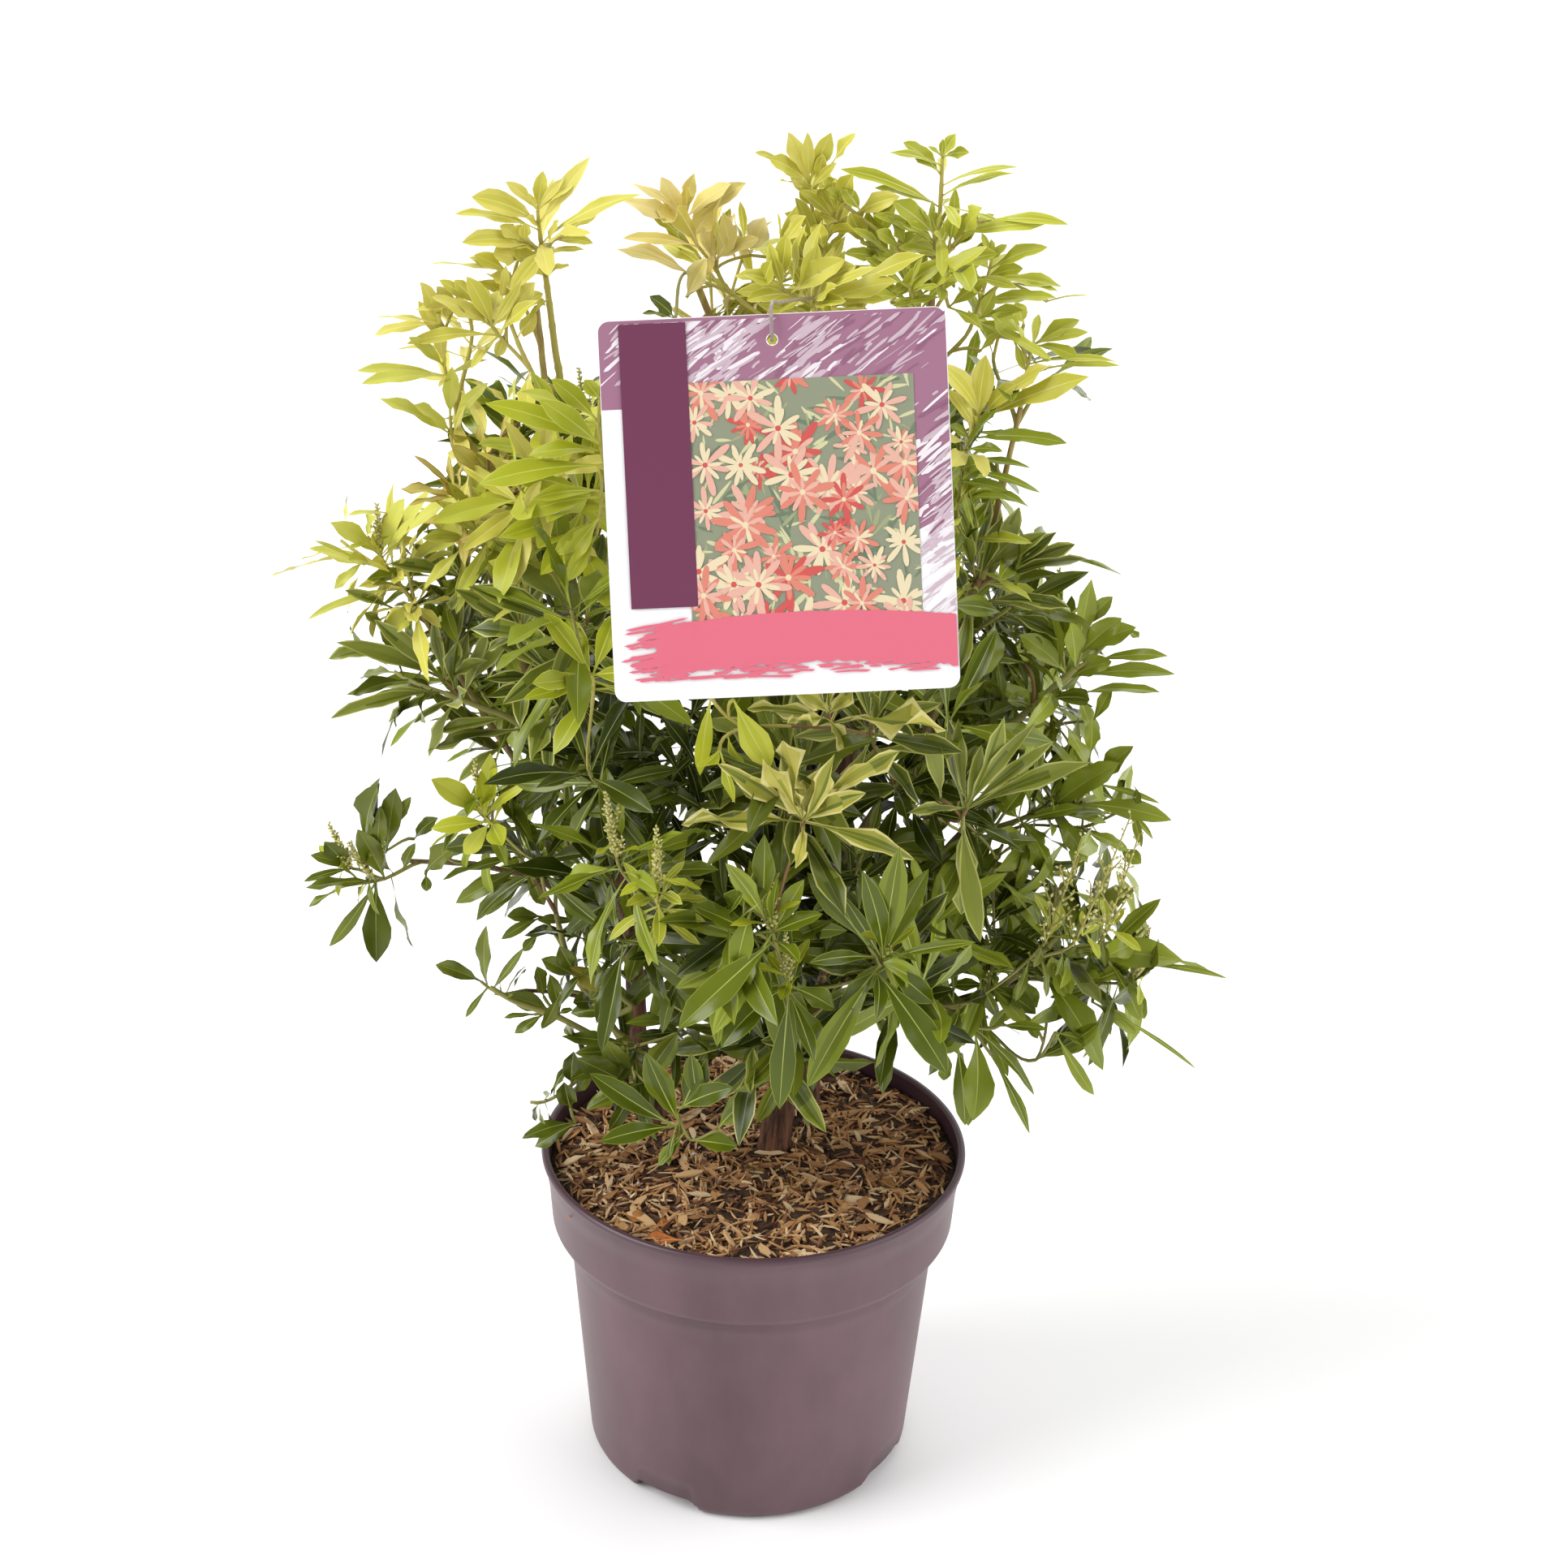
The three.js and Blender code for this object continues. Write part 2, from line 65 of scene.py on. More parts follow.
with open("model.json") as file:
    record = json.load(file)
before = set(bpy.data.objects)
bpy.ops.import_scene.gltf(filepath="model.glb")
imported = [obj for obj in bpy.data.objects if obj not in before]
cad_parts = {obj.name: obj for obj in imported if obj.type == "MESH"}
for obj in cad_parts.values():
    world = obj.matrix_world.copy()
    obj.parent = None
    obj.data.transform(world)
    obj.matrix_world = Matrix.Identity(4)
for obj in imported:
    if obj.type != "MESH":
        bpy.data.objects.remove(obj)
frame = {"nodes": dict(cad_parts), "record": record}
CAD_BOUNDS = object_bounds()

MM = 0.001
UP = Vector((0, 0, 1))
TURN = 2 * math.pi
GOLDEN_ANGLE = math.radians(137.5)


def tint(code):
    """A colour from its six hex digits, as linear light with full alpha."""
    channels = [int(code[i : i + 2], 16) / 255 for i in (0, 2, 4)]
    linear = [c / 12.92 if c <= 0.04045 else ((c + 0.055) / 1.055) ** 2.4 for c in channels]
    return (*linear, 1.0)


def colour_property(name, description, code):
    return FloatVectorProperty(
        name=name, description=description, subtype="COLOR", size=4, min=0, max=1, default=tint(code)
    )


def length_property(name, description, millimetres):
    return FloatProperty(
        name=name, description=description, unit="LENGTH", precision=4, min=0, default=millimetres * MM
    )


# ---------------------------------------------------------------- settings
class PotSettings(bpy.types.PropertyGroup):
    wall_colour: colour_property("Wall colour", "Mauve brown plastic of the wall", "4C343B")
    pale_colour: colour_property("Worn colour", "Where the plastic has dulled", "6F545A")
    lip_colour: colour_property("Lip colour", "Dark plum of the rolled lip", "4E353E")
    lip_radius: length_property("Lip radius", "Half the thickness of the rolled lip", 2.1)
    segments: IntProperty(name="Segments", description="Steps round the pot", min=48, default=288)


class MulchSettings(bpy.types.PropertyGroup):
    soil_colour: colour_property("Soil colour", "Damp compost between the fibres", "33231A")
    relief: length_property("Relief", "How far the surface rises and falls", 4)
    fibres: IntProperty(name="Fibres", description="Slivers of shredded wood", min=0, default=3300)
    chips: IntProperty(name="Chips", description="Larger flat chips of bark", min=0, default=90)
    crumbs: IntProperty(name="Crumbs", description="Lumps of compost", min=0, default=500)
    seed: IntProperty(name="Seed", description="Start of the random draw", default=11)


class WoodSettings(bpy.types.PropertyGroup):
    bark_dark: colour_property("Bark furrows", "Colour in the furrows of old bark", "332014")
    bark_light: colour_property("Bark ridges", "Colour on the ridges of old bark", "7A4F38")
    young_low: colour_property("Lower boughs", "Bark of the boughs near the stems", "5E4630")
    young_high: colour_property("Upper boughs", "Bark of the boughs near the leaders", "B0A258")
    ridge: FloatProperty(name="Ridges", description="Height of the bark ridges over the radius", default=0.1)
    sides: IntProperty(name="Sides", description="Points round a limb", min=8, default=24)
    slimming: FloatProperty(name="Slimming", description="What is left of a bough's radius at its end", default=0.72)


class FoliageSettings(bpy.types.PropertyGroup):
    spacing: length_property("Shoot spacing", "Distance between the tips of shoots", 31)
    inset: FloatProperty(name="Inset", description="How deep shoots start in a mass", default=0.6)
    seed: IntProperty(name="Seed", description="Start of the random draw", default=29)


class CardSettings(bpy.types.PropertyGroup):
    stock_colour: colour_property("Card", "White coated card", "F4F2F3")
    lilac_colour: colour_property("Lilac", "Brushed field along the top", "9C6D85")
    plum_colour: colour_property("Plum", "Plain upright band", "6B3350")
    coral_colour: colour_property("Coral", "Brushed band along the foot", "D86A7E")
    wire_colour: colour_property("Wire", "Coated wire of the hook", "8C7E7C")
    seed: IntProperty(name="Seed", description="Start of the random draw", default=5)


class StageSettings(bpy.types.PropertyGroup):
    floor_colour: colour_property("Floor", "Pale studio floor", "F8F8F8")
    sky_strength: FloatProperty(name="Overhead", description="Strength of the white overhead", default=0.4)
    horizon_strength: FloatProperty(name="Horizon", description="Strength of the white at eye level", default=0.95)
    key_power: FloatProperty(name="Key light", description="Strength of the main soft light", default=2.4)
    fill_power: FloatProperty(name="Fill light", description="Strength of the fill light", default=1.5)
    back_power: FloatProperty(name="Back light", description="Strength of the light behind", default=1.25)


# ---------------------------------------------------------------- node helpers
def add_node(tree, kind, inputs=None, **settings):
    """Adds a node; inputs maps a socket's name or number to a value or to an output socket."""
    node = tree.nodes.new(kind)
    for key, value in settings.items():
        setattr(node, key, value)
    for key, value in (inputs or {}).items():
        if isinstance(value, bpy.types.NodeSocket):
            tree.links.new(value, node.inputs[key])
        else:
            node.inputs[key].default_value = value
    return node


def new_group(name, inputs, outputs):
    """A shader group with named sockets, given as (name, kind, default) and (name, kind)."""
    group = bpy.data.node_groups.new(name, "ShaderNodeTree")
    for label, kind, default in inputs:
        socket = group.interface.new_socket(label, in_out="INPUT", socket_type=kind)
        socket.default_value = default
    for label, kind in outputs:
        group.interface.new_socket(label, in_out="OUTPUT", socket_type=kind)
    entry = group.nodes.new("NodeGroupInput")
    result = group.nodes.new("NodeGroupOutput")
    return group, entry.outputs, result


def stretched_place(group, stretch):
    """The object's own coordinates, drawn out upwards where the stretch is below 1."""
    place = add_node(group, "ShaderNodeTexCoord")
    squash = add_node(group, "ShaderNodeCombineXYZ", {0: 1.0, 1: 1.0, 2: stretch})
    stretched = add_node(
        group, "ShaderNodeVectorMath", {0: place.outputs["Object"], 1: squash.outputs[0]}, operation="MULTIPLY"
    )
    return stretched.outputs[0]


def mottle_group():
    """Two colours mixed in soft blotches, with the mask that mixes them."""
    name = "Mottle"
    if name in bpy.data.node_groups:
        return bpy.data.node_groups[name]
    group, given, result = new_group(
        name,
        [
            ("Colour A", "NodeSocketColor", (0.5, 0.5, 0.5, 1)),
            ("Colour B", "NodeSocketColor", (0.6, 0.6, 0.6, 1)),
            ("Scale", "NodeSocketFloat", 40.0),
            ("Stretch", "NodeSocketFloat", 1.0),
            ("Contrast", "NodeSocketFloat", 0.5),
        ],
        [("Colour", "NodeSocketColor"), ("Mask", "NodeSocketFloat")],
    )
    place = stretched_place(group, given["Stretch"])
    blotches = add_node(
        group,
        "ShaderNodeTexNoise",
        {"Vector": place, "Scale": given["Scale"], "Detail": 6.0, "Roughness": 0.6},
    )
    low = add_node(group, "ShaderNodeMath", {0: 0.5, 1: given["Contrast"]}, operation="SUBTRACT")
    high = add_node(group, "ShaderNodeMath", {0: 0.5, 1: given["Contrast"]}, operation="ADD")
    mask = add_node(
        group,
        "ShaderNodeMapRange",
        {"Value": blotches.outputs["Fac"], "From Min": low.outputs[0], "From Max": high.outputs[0]},
        interpolation_type="SMOOTHSTEP",
    )
    mix = add_node(
        group,
        "ShaderNodeMix",
        {0: mask.outputs[0], 6: given["Colour A"], 7: given["Colour B"]},
        data_type="RGBA",
    )
    group.links.new(mix.outputs[2], result.inputs["Colour"])
    group.links.new(mask.outputs[0], result.inputs["Mask"])
    return group


def grain_group():
    """A fine uneven height for skins, bark and print."""
    name = "Grain"
    if name in bpy.data.node_groups:
        return bpy.data.node_groups[name]
    group, given, result = new_group(
        name,
        [("Scale", "NodeSocketFloat", 600.0), ("Stretch", "NodeSocketFloat", 1.0)],
        [("Height", "NodeSocketFloat")],
    )
    place = stretched_place(group, given["Stretch"])
    grain = add_node(group, "ShaderNodeTexNoise", {"Vector": place, "Scale": given["Scale"], "Detail": 4.0})
    group.links.new(grain.outputs["Fac"], result.inputs["Height"])
    return group


def use_group(tree, group, values):
    node = tree.nodes.new("ShaderNodeGroup")
    node.node_tree = group
    for key, value in values.items():
        node.inputs[key].default_value = value
    return node


def new_material(name, roughness, colour=None, specular=0.5):
    material = bpy.data.materials.new(name)
    material.use_nodes = True
    tree = material.node_tree
    shader = tree.nodes["Principled BSDF"]
    shader.inputs["Roughness"].default_value = roughness
    shader.inputs["Specular IOR Level"].default_value = specular
    if colour is not None:
        shader.inputs["Base Color"].default_value = colour
    return material, tree, shader


def grained(tree, shader, scale, strength, distance, stretch=1.0):
    """Raises a fine grain on a material's surface."""
    grain = use_group(tree, grain_group(), {"Scale": scale, "Stretch": stretch})
    bump = add_node(
        tree,
        "ShaderNodeBump",
        {"Height": grain.outputs["Height"], "Strength": strength, "Distance": distance},
    )
    tree.links.new(bump.outputs["Normal"], shader.inputs["Normal"])


def mottled(tree, shader, dark, light, scale, stretch=1.0, contrast=0.2):
    """Gives a material two colours in blotches and returns the blotches' mask."""
    values = {"Colour A": dark, "Colour B": light, "Scale": scale, "Stretch": stretch, "Contrast": contrast}
    blotches = use_group(tree, mottle_group(), values)
    tree.links.new(blotches.outputs["Colour"], shader.inputs["Base Color"])
    return blotches.outputs["Mask"]


def varied_roughness(tree, shader, mask, low, high):
    spread = add_node(tree, "ShaderNodeMapRange", {"Value": mask, "To Min": low, "To Max": high})
    tree.links.new(spread.outputs[0], shader.inputs["Roughness"])


def plain_finish(name, colour, roughness, grain_scale=900.0, grain_strength=0.25, specular=0.4):
    """One colour with a fine grain, for small things that are joined in great numbers."""
    if name in bpy.data.materials:
        return bpy.data.materials[name]
    material, tree, shader = new_material(name, roughness, colour, specular)
    grained(tree, shader, grain_scale, grain_strength, 0.2 * MM)
    return material


# ---------------------------------------------------------------- mesh helpers
class MeshParts:
    """Points and faces of many small forms, gathered for one joined piece."""

    def __init__(self):
        self.points = []
        self.faces = []
        self.finishes = []

    def add(self, points, faces, finish=0):
        """finish is one number, or one for each face."""
        start = len(self.points)
        self.points.extend(tuple(p) for p in points)
        self.faces.extend(tuple(start + i for i in face) for face in faces)
        if isinstance(finish, int):
            self.finishes.extend([finish] * len(faces))
        else:
            self.finishes.extend(finish)


def new_piece(name, parts, materials, smooth=True):
    """A piece that rides with the plant, from gathered parts."""
    mesh = bpy.data.meshes.new(name)
    mesh.from_pydata(parts.points, [], parts.faces)
    for material in materials:
        mesh.materials.append(material)
    mesh.polygons.foreach_set("material_index", np.array(parts.finishes, dtype=np.int32))
    mesh.polygons.foreach_set("use_smooth", np.full(len(parts.faces), smooth))
    mesh.update()
    piece = bpy.data.objects.new(name, mesh)
    bpy.context.scene.collection.objects.link(piece)
    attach(piece, "root")
    return piece


def node_points(name):
    vertices = frame["nodes"][name].data.vertices
    points = np.zeros(len(vertices) * 3)
    vertices.foreach_get("co", points)
    return points.reshape(-1, 3)


def polar(radius, angle):
    return radius * math.cos(angle), radius * math.sin(angle)


def around(axis, bearing):
    """The direction square to an axis at this bearing round it."""
    side = axis.orthogonal().normalized()
    return side * math.cos(bearing) + axis.cross(side) * math.sin(bearing)


def ring_faces(bands, sides, start=0):
    """The bands of quads between rings of points that follow one another."""
    faces = []
    for i in range(bands):
        a = start + i * sides
        for j in range(sides):
            k = (j + 1) % sides
            faces.append((a + j, a + k, a + sides + k, a + sides + j))
    return faces


def sweep(route, radii, sides, relief=None):
    """A closed tube along a route; relief(along, angle) scales its radius."""
    route = [Vector(p) for p in route]
    count = len(route)
    points = []
    across = None
    for i, centre in enumerate(route):
        tangent = (route[min(i + 1, count - 1)] - route[max(i - 1, 0)]).normalized()
        if across is None:
            across = tangent.orthogonal().normalized()
        across = (across - tangent * across.dot(tangent)).normalized()
        other = tangent.cross(across)
        for j in range(sides):
            angle = TURN * j / sides
            radius = radii[i] * (relief(i / (count - 1), angle) if relief else 1)
            points.append(centre + across * (radius * math.cos(angle)) + other * (radius * math.sin(angle)))
    faces = ring_faces(count - 1, sides)
    faces.append(tuple(range(sides - 1, -1, -1)))
    faces.append(tuple(range((count - 1) * sides, count * sides)))
    return points, faces


def lathe(profile_at, segments):
    """Turns a profile round the Z axis; profile_at(azimuth) gives its (radius, height) points."""
    points = []
    for i in range(segments):
        azimuth = TURN * i / segments
        points += [(*polar(radius, azimuth), height) for radius, height in profile_at(azimuth)]
    count = len(profile_at(0.0))
    faces = []
    for i in range(segments):
        k = (i + 1) % segments
        for j in range(count - 1):
            faces.append((i * count + j, k * count + j, k * count + j + 1, i * count + j + 1))
    return points, faces, count


def smooth_line(knots, steps):
    """Evenly spaced points on a smooth line through the knots; a fourth column goes with them."""
    knots = np.asarray(knots, float)
    padded = np.vstack([2 * knots[0] - knots[1], knots, 2 * knots[-1] - knots[-2]])
    fine = []
    for i in range(1, len(padded) - 2):
        before, start, end, after = padded[i - 1 : i + 3]
        for t in np.linspace(0, 1, 12, endpoint=False):
            bend = (2 * before - 5 * start + 4 * end - after) * t**2
            fine.append(0.5 * (2 * start + (end - before) * t + bend + (3 * start - before - 3 * end + after) * t**3))
    fine.append(padded[-2])
    fine = np.array(fine)
    travelled = np.concatenate([[0], np.cumsum(np.linalg.norm(np.diff(fine[:, :3], axis=0), axis=1))])
    wanted = np.linspace(0, travelled[-1], steps)
    return np.stack([np.interp(wanted, travelled, fine[:, k]) for k in range(fine.shape[1])], axis=1)


# ---------------------------------------------------------------- pot
POT_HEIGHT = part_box("pot")[1].z
RIM_RADIUS = np.linalg.norm(node_points("pot")[:, :2], axis=1).max()
POT_WALL = 2 * MM
POT_FLOOR = 3 * MM
COLLAR_TOP = (111 * MM, POT_HEIGHT - 20 * MM)
COLLAR_FOOT = (109.6 * MM, POT_HEIGHT - 40 * MM)
BODY_TOP = (100.5 * MM, POT_HEIGHT - 47 * MM)
BODY_FOOT_RADIUS = 89.5 * MM
FOOT_ROUNDING = 7 * MM
FOOT_RING_RADIUS = 62 * MM
FOOT_RECESS = 1.5 * MM
ARCH_WIDTH = 42 * MM
ARCH_HEIGHT = 9 * MM
ARCH_DEPTH = 16 * MM
ARCH_BACK = 0.2 * MM
BODY_STEPS = 8
LIP_SWEEP = (-70, 200)
MERGE_DISTANCE = 0.01 * MM
ARCH_AZIMUTHS = [math.radians(a) for a in (60, 150, 240, 330)]


def arc(centre, radius, start, end, steps):
    """Points of an arc in the profile plane; angles in degrees from the outward direction."""
    angles = [math.radians(start + (end - start) * i / steps) for i in range(steps + 1)]
    return [(centre[0] + radius * math.cos(a), centre[1] + radius * math.sin(a)) for a in angles]


def shoulder_arc(inset):
    """The rounded step under the collar, from the wall out to the collar's foot."""
    step = COLLAR_FOOT[0] - BODY_TOP[0]
    rise = COLLAR_FOOT[1] - BODY_TOP[1]
    points = []
    for i in range(11):
        angle = math.radians(9 * i)
        points.append((BODY_TOP[0] + step * math.sin(angle) - inset, COLLAR_FOOT[1] - rise * math.cos(angle)))
    return points


def arch_rise(azimuth):
    """Height of the drain arch's ceiling at this azimuth, or 0 between the arches."""
    for middle in ARCH_AZIMUTHS:
        offset = (azimuth - middle + math.pi) % TURN - math.pi
        across = abs(offset) * BODY_FOOT_RADIUS
        if across < ARCH_WIDTH / 2:
            corner = ARCH_HEIGHT / 2
            return min(ARCH_HEIGHT, ARCH_HEIGHT - corner + (ARCH_WIDTH / 2 - across))
    return 0.0


def wall_run(inset):
    """Points of the tapered body, with a few on the way so that shading stays even."""
    low = (BODY_FOOT_RADIUS - inset, FOOT_ROUNDING)
    high = (BODY_TOP[0] - inset, BODY_TOP[1])
    return [
        tuple(low[k] + (high[k] - low[k]) * i / BODY_STEPS for k in (0, 1)) for i in range(BODY_STEPS)
    ]


def pot_profile(azimuth, lip_radius):
    """The outside from the middle of the foot upwards, the lip, and the inside back down."""
    rise = arch_rise(azimuth)
    recess_radius = BODY_FOOT_RADIUS - ARCH_DEPTH
    foot_centre = (BODY_FOOT_RADIUS - FOOT_ROUNDING, FOOT_ROUNDING)
    foot = arc(foot_centre, FOOT_ROUNDING, -90, 0, 6)[:-1]
    outside = [(0.0, FOOT_RECESS), (FOOT_RING_RADIUS, FOOT_RECESS), (FOOT_RING_RADIUS + FOOT_RECESS, 0.0)]
    outside.append((recess_radius - ARCH_BACK, 0.0))
    outside.append((recess_radius, rise))
    outside += [(radius, max(height, rise)) for radius, height in foot + wall_run(0)]
    outside += shoulder_arc(0)
    outside.append(COLLAR_TOP)
    lip_centre = (RIM_RADIUS - lip_radius, POT_HEIGHT - lip_radius)
    lip = arc(lip_centre, lip_radius, *LIP_SWEEP, 16)
    inner_foot = arc(foot_centre, FOOT_ROUNDING - POT_WALL, -90, 0, 4)[:-1]
    lining = rise + POT_WALL if rise else 0.0
    inside = [(COLLAR_TOP[0] - POT_WALL, COLLAR_TOP[1])]
    inside += shoulder_arc(POT_WALL)[::-1]
    inside += [(r, max(z, lining)) for r, z in (inner_foot + wall_run(POT_WALL))[::-1]]
    inside.append((recess_radius - POT_WALL, max(POT_FLOOR, lining)))
    inside.append((recess_radius - POT_WALL - ARCH_BACK, POT_FLOOR))
    inside.append((0.0, POT_FLOOR))
    return outside, lip, inside


def pot_materials(settings):
    wall, tree, shader = new_material("Pot plastic", 0.42)
    mask = mottled(tree, shader, settings.wall_colour, settings.pale_colour, 14.0, 0.5, 0.35)
    varied_roughness(tree, shader, mask, 0.36, 0.5)
    grained(tree, shader, 420.0, 0.12, 0.3 * MM)
    lip, tree, shader = new_material("Pot lip", 0.36)
    mask = mottled(tree, shader, settings.lip_colour, settings.wall_colour, 60.0, 1.0, 0.6)
    varied_roughness(tree, shader, mask, 0.3, 0.45)
    grained(tree, shader, 500.0, 0.15, 0.3 * MM)
    return [wall, lip]


def make_pot(settings):
    def profile(azimuth):
        outside, lip, inside = pot_profile(azimuth, settings.lip_radius)
        return outside + lip + inside

    points, faces, count = lathe(profile, settings.segments)
    outside, lip, _ = pot_profile(0.0, settings.lip_radius)
    first = len(outside)
    last = first + len(lip)
    finishes = [1 if first <= i % (count - 1) < last else 0 for i in range(len(faces))]
    parts = MeshParts()
    parts.add(points, faces, finishes)
    pot = new_piece("pot_shell", parts, pot_materials(settings))
    clean_mesh(pot.data)
    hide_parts("pot")


def clean_mesh(mesh):
    """Merges points that coincide and drops faces with no area."""
    form = bmesh.new()
    form.from_mesh(mesh)
    bmesh.ops.remove_doubles(form, verts=form.verts, dist=MERGE_DISTANCE)
    bmesh.ops.dissolve_degenerate(form, edges=form.edges, dist=MERGE_DISTANCE / 2)
    bmesh.ops.recalc_face_normals(form, faces=form.faces)
    form.to_mesh(mesh)
    form.free()


# ---------------------------------------------------------------- mulch
SOIL_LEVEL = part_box("compost")[1].z
SOIL_RADIUS = np.linalg.norm(node_points("compost")[:, :2], axis=1).max() - 0.4 * MM
SOIL_WALL = ((107 * MM, 146 * MM), (97.8 * MM, 136 * MM), (85 * MM, 14 * MM))
SOIL_RINGS = 44
SOIL_SEGMENTS = 150
SOIL_EDGE = 8 * MM
SWELLS = 28
LUMPS = 120
PATCHES = 55
CHIP_FINISHES = (0, 1, 2, 4)
CRUMBS_TO_A_STONE = 28


def soil_height(x, y, relief):
    """The mulch surface: low swells with smaller lumps, flat against the pot's wall."""
    swell = noise.noise(Vector((x * SWELLS, y * SWELLS, 3.1)))
    lumps = noise.noise(Vector((x * LUMPS, y * LUMPS, 7.7)))
    edge = min(1.0, (SOIL_RADIUS - math.hypot(x, y)) / SOIL_EDGE)
    return SOIL_LEVEL + relief * (0.35 + edge * (0.45 * swell + 0.3 * lumps))


def make_soil(settings):
    angles = [TURN * j / SOIL_SEGMENTS for j in range(SOIL_SEGMENTS)]
    points = [(0, 0, soil_height(0, 0, settings.relief))]
    for i in range(1, SOIL_RINGS + 1):
        for angle in angles:
            x, y = polar(SOIL_RADIUS * i / SOIL_RINGS, angle)
            points.append((x, y, soil_height(x, y, settings.relief)))
    for radius, height in SOIL_WALL:
        points += [(*polar(radius, angle), height) for angle in angles]
    faces = [(0, 1 + j, 1 + (j + 1) % SOIL_SEGMENTS) for j in range(SOIL_SEGMENTS)]
    bands = SOIL_RINGS + len(SOIL_WALL) - 1
    faces += [(a, d, c, b) for a, b, c, d in ring_faces(bands, SOIL_SEGMENTS, 1)]
    bottom = 1 + bands * SOIL_SEGMENTS
    faces.append(tuple(range(bottom, bottom + SOIL_SEGMENTS)[::-1]))
    parts = MeshParts()
    parts.add(points, faces)
    soil, tree, shader = new_material("Damp compost", 0.9)
    mottled(tree, shader, settings.soil_colour, tint("5B4230"), 260.0, 1.0, 0.25)
    grained(tree, shader, 700.0, 0.9, 1.2 * MM)
    bed = new_piece("soil_bed", parts, [soil])
    clean_mesh(bed.data)
    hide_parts("compost")


def sliver(centre, yaw, pitch, roll, length, width, thickness, rng):
    """A torn splinter: a bent bar whose two ends run out to ragged edges."""
    turn = Matrix.Rotation(yaw, 3, "Z") @ Matrix.Rotation(pitch, 3, "Y") @ Matrix.Rotation(roll, 3, "X")
    bend = rng.uniform(-0.12, 0.12) * length
    points = []
    for along, breadth in ((-0.5, rng.uniform(0.1, 0.6)), (-0.2, 1.0), (0.2, 1.0), (0.5, rng.uniform(0.1, 0.6))):
        sag = bend * (1 - 4 * along * along)
        for side, level in ((-1, -1), (1, -1), (1, 1), (-1, 1)):
            half = breadth / 2
            x = along * length + side * width * 0.2
            points.append(turn @ Vector((x, side * width * half + sag, level * thickness * half)) + centre)
    return points, [(3, 2, 1, 0), (12, 13, 14, 15)] + ring_faces(3, 4)


def crumb(centre, size, rng):
    """A lump with eight uneven faces."""
    points = []
    for axis in range(3):
        for side in (-1, 1):
            offset = Vector((0, 0, 0))
            offset[axis] = side * size * rng.uniform(0.5, 1.1)
            points.append(centre + offset)
    faces = []
    for x in (0, 1):
        for y in (2, 3):
            for z in (4, 5):
                odd = (x + (y - 2) + (z - 4)) % 2
                faces.append((x, y, z) if odd else (x, z, y))
    return points, faces


def spot_on_soil(rng, margin=2 * MM):
    radius = (SOIL_RADIUS - margin) * math.sqrt(rng.random())
    return polar(radius, rng.uniform(0, TURN))


def held_in_pot(points):
    """Whether all the points stay clear of the pot's wall."""
    return all(math.hypot(p[0], p[1]) < SOIL_RADIUS + 0.2 * MM for p in points)


FIBRE_TINTS = ("BC8E5C", "CBA474", "A07248", "7C5236", "DDC096", "543422", "AE8050")
FIBRE_SHARES = (20, 20, 16, 12, 14, 12, 6)


def make_mulch(settings):
    rng = random.Random(settings.seed)
    finishes = [
        plain_finish(f"Wood fibre {i + 1}", tint(code), 0.8, 500.0, 0.6) for i, code in enumerate(FIBRE_TINTS)
    ]
    fibres = MeshParts()
    for _ in range(settings.fibres):
        x, y = spot_on_soil(rng)
        centre = Vector((x, y, soil_height(x, y, settings.relief) + rng.uniform(-0.2, 2.4) * MM))
        if noise.noise(Vector((x * PATCHES, y * PATCHES, 21.0))) < rng.uniform(-0.9, -0.1):
            continue
        length = rng.triangular(4, 20, 7) * MM
        form = sliver(
            centre,
            rng.uniform(0, TURN),
            rng.gauss(0, 0.28),
            rng.uniform(0, math.pi),
            length,
            rng.triangular(0.7, 2.8, 1.2) * MM,
            rng.uniform(0.4, 0.9) * MM,
            rng,
        )
        if held_in_pot(form[0]):
            fibres.add(*form, rng.choices(range(len(FIBRE_TINTS)), FIBRE_SHARES)[0])
    new_piece("mulch_fibres", fibres, finishes, smooth=False)

    chips = MeshParts()
    for _ in range(settings.chips):
        x, y = spot_on_soil(rng, 8 * MM)
        centre = Vector((x, y, soil_height(x, y, settings.relief) + rng.uniform(1.2, 3.0) * MM))
        form = sliver(
            centre,
            rng.uniform(0, TURN),
            rng.gauss(0, 0.2),
            rng.gauss(0, 0.3),
            rng.uniform(8, 20) * MM,
            rng.uniform(2.5, 5.5) * MM,
            rng.uniform(0.8, 1.4) * MM,
            rng,
        )
        if held_in_pot(form[0]):
            chips.add(*form, rng.choice(CHIP_FINISHES))
    new_piece("mulch_chips", chips, finishes, smooth=False)

    crumbs = MeshParts()
    for i in range(settings.crumbs):
        x, y = spot_on_soil(rng, 3 * MM)
        size = rng.uniform(0.6, 1.9) * MM
        centre = Vector((x, y, soil_height(x, y, settings.relief) + size * 0.6))
        crumbs.add(*crumb(centre, size, rng), 0 if i % CRUMBS_TO_A_STONE else 1)
    crumb_finishes = [
        plain_finish("Compost crumb", tint("3A281C"), 0.95, 700.0, 0.8),
        plain_finish("Mineral grain", tint("E4DDD0"), 0.7, 700.0, 0.5),
    ]
    new_piece("mulch_crumbs", crumbs, crumb_finishes, smooth=False)


# ---------------------------------------------------------------- stems and boughs
STEMS = ("stem_front", "stem_left", "stem_back")
BOUGHS = tuple(sorted(name for name in frame["nodes"] if name.startswith("bough_")))
CUTS = 14
FIRST_CUT = 0.04
BARK_STEP = 2.2 * MM
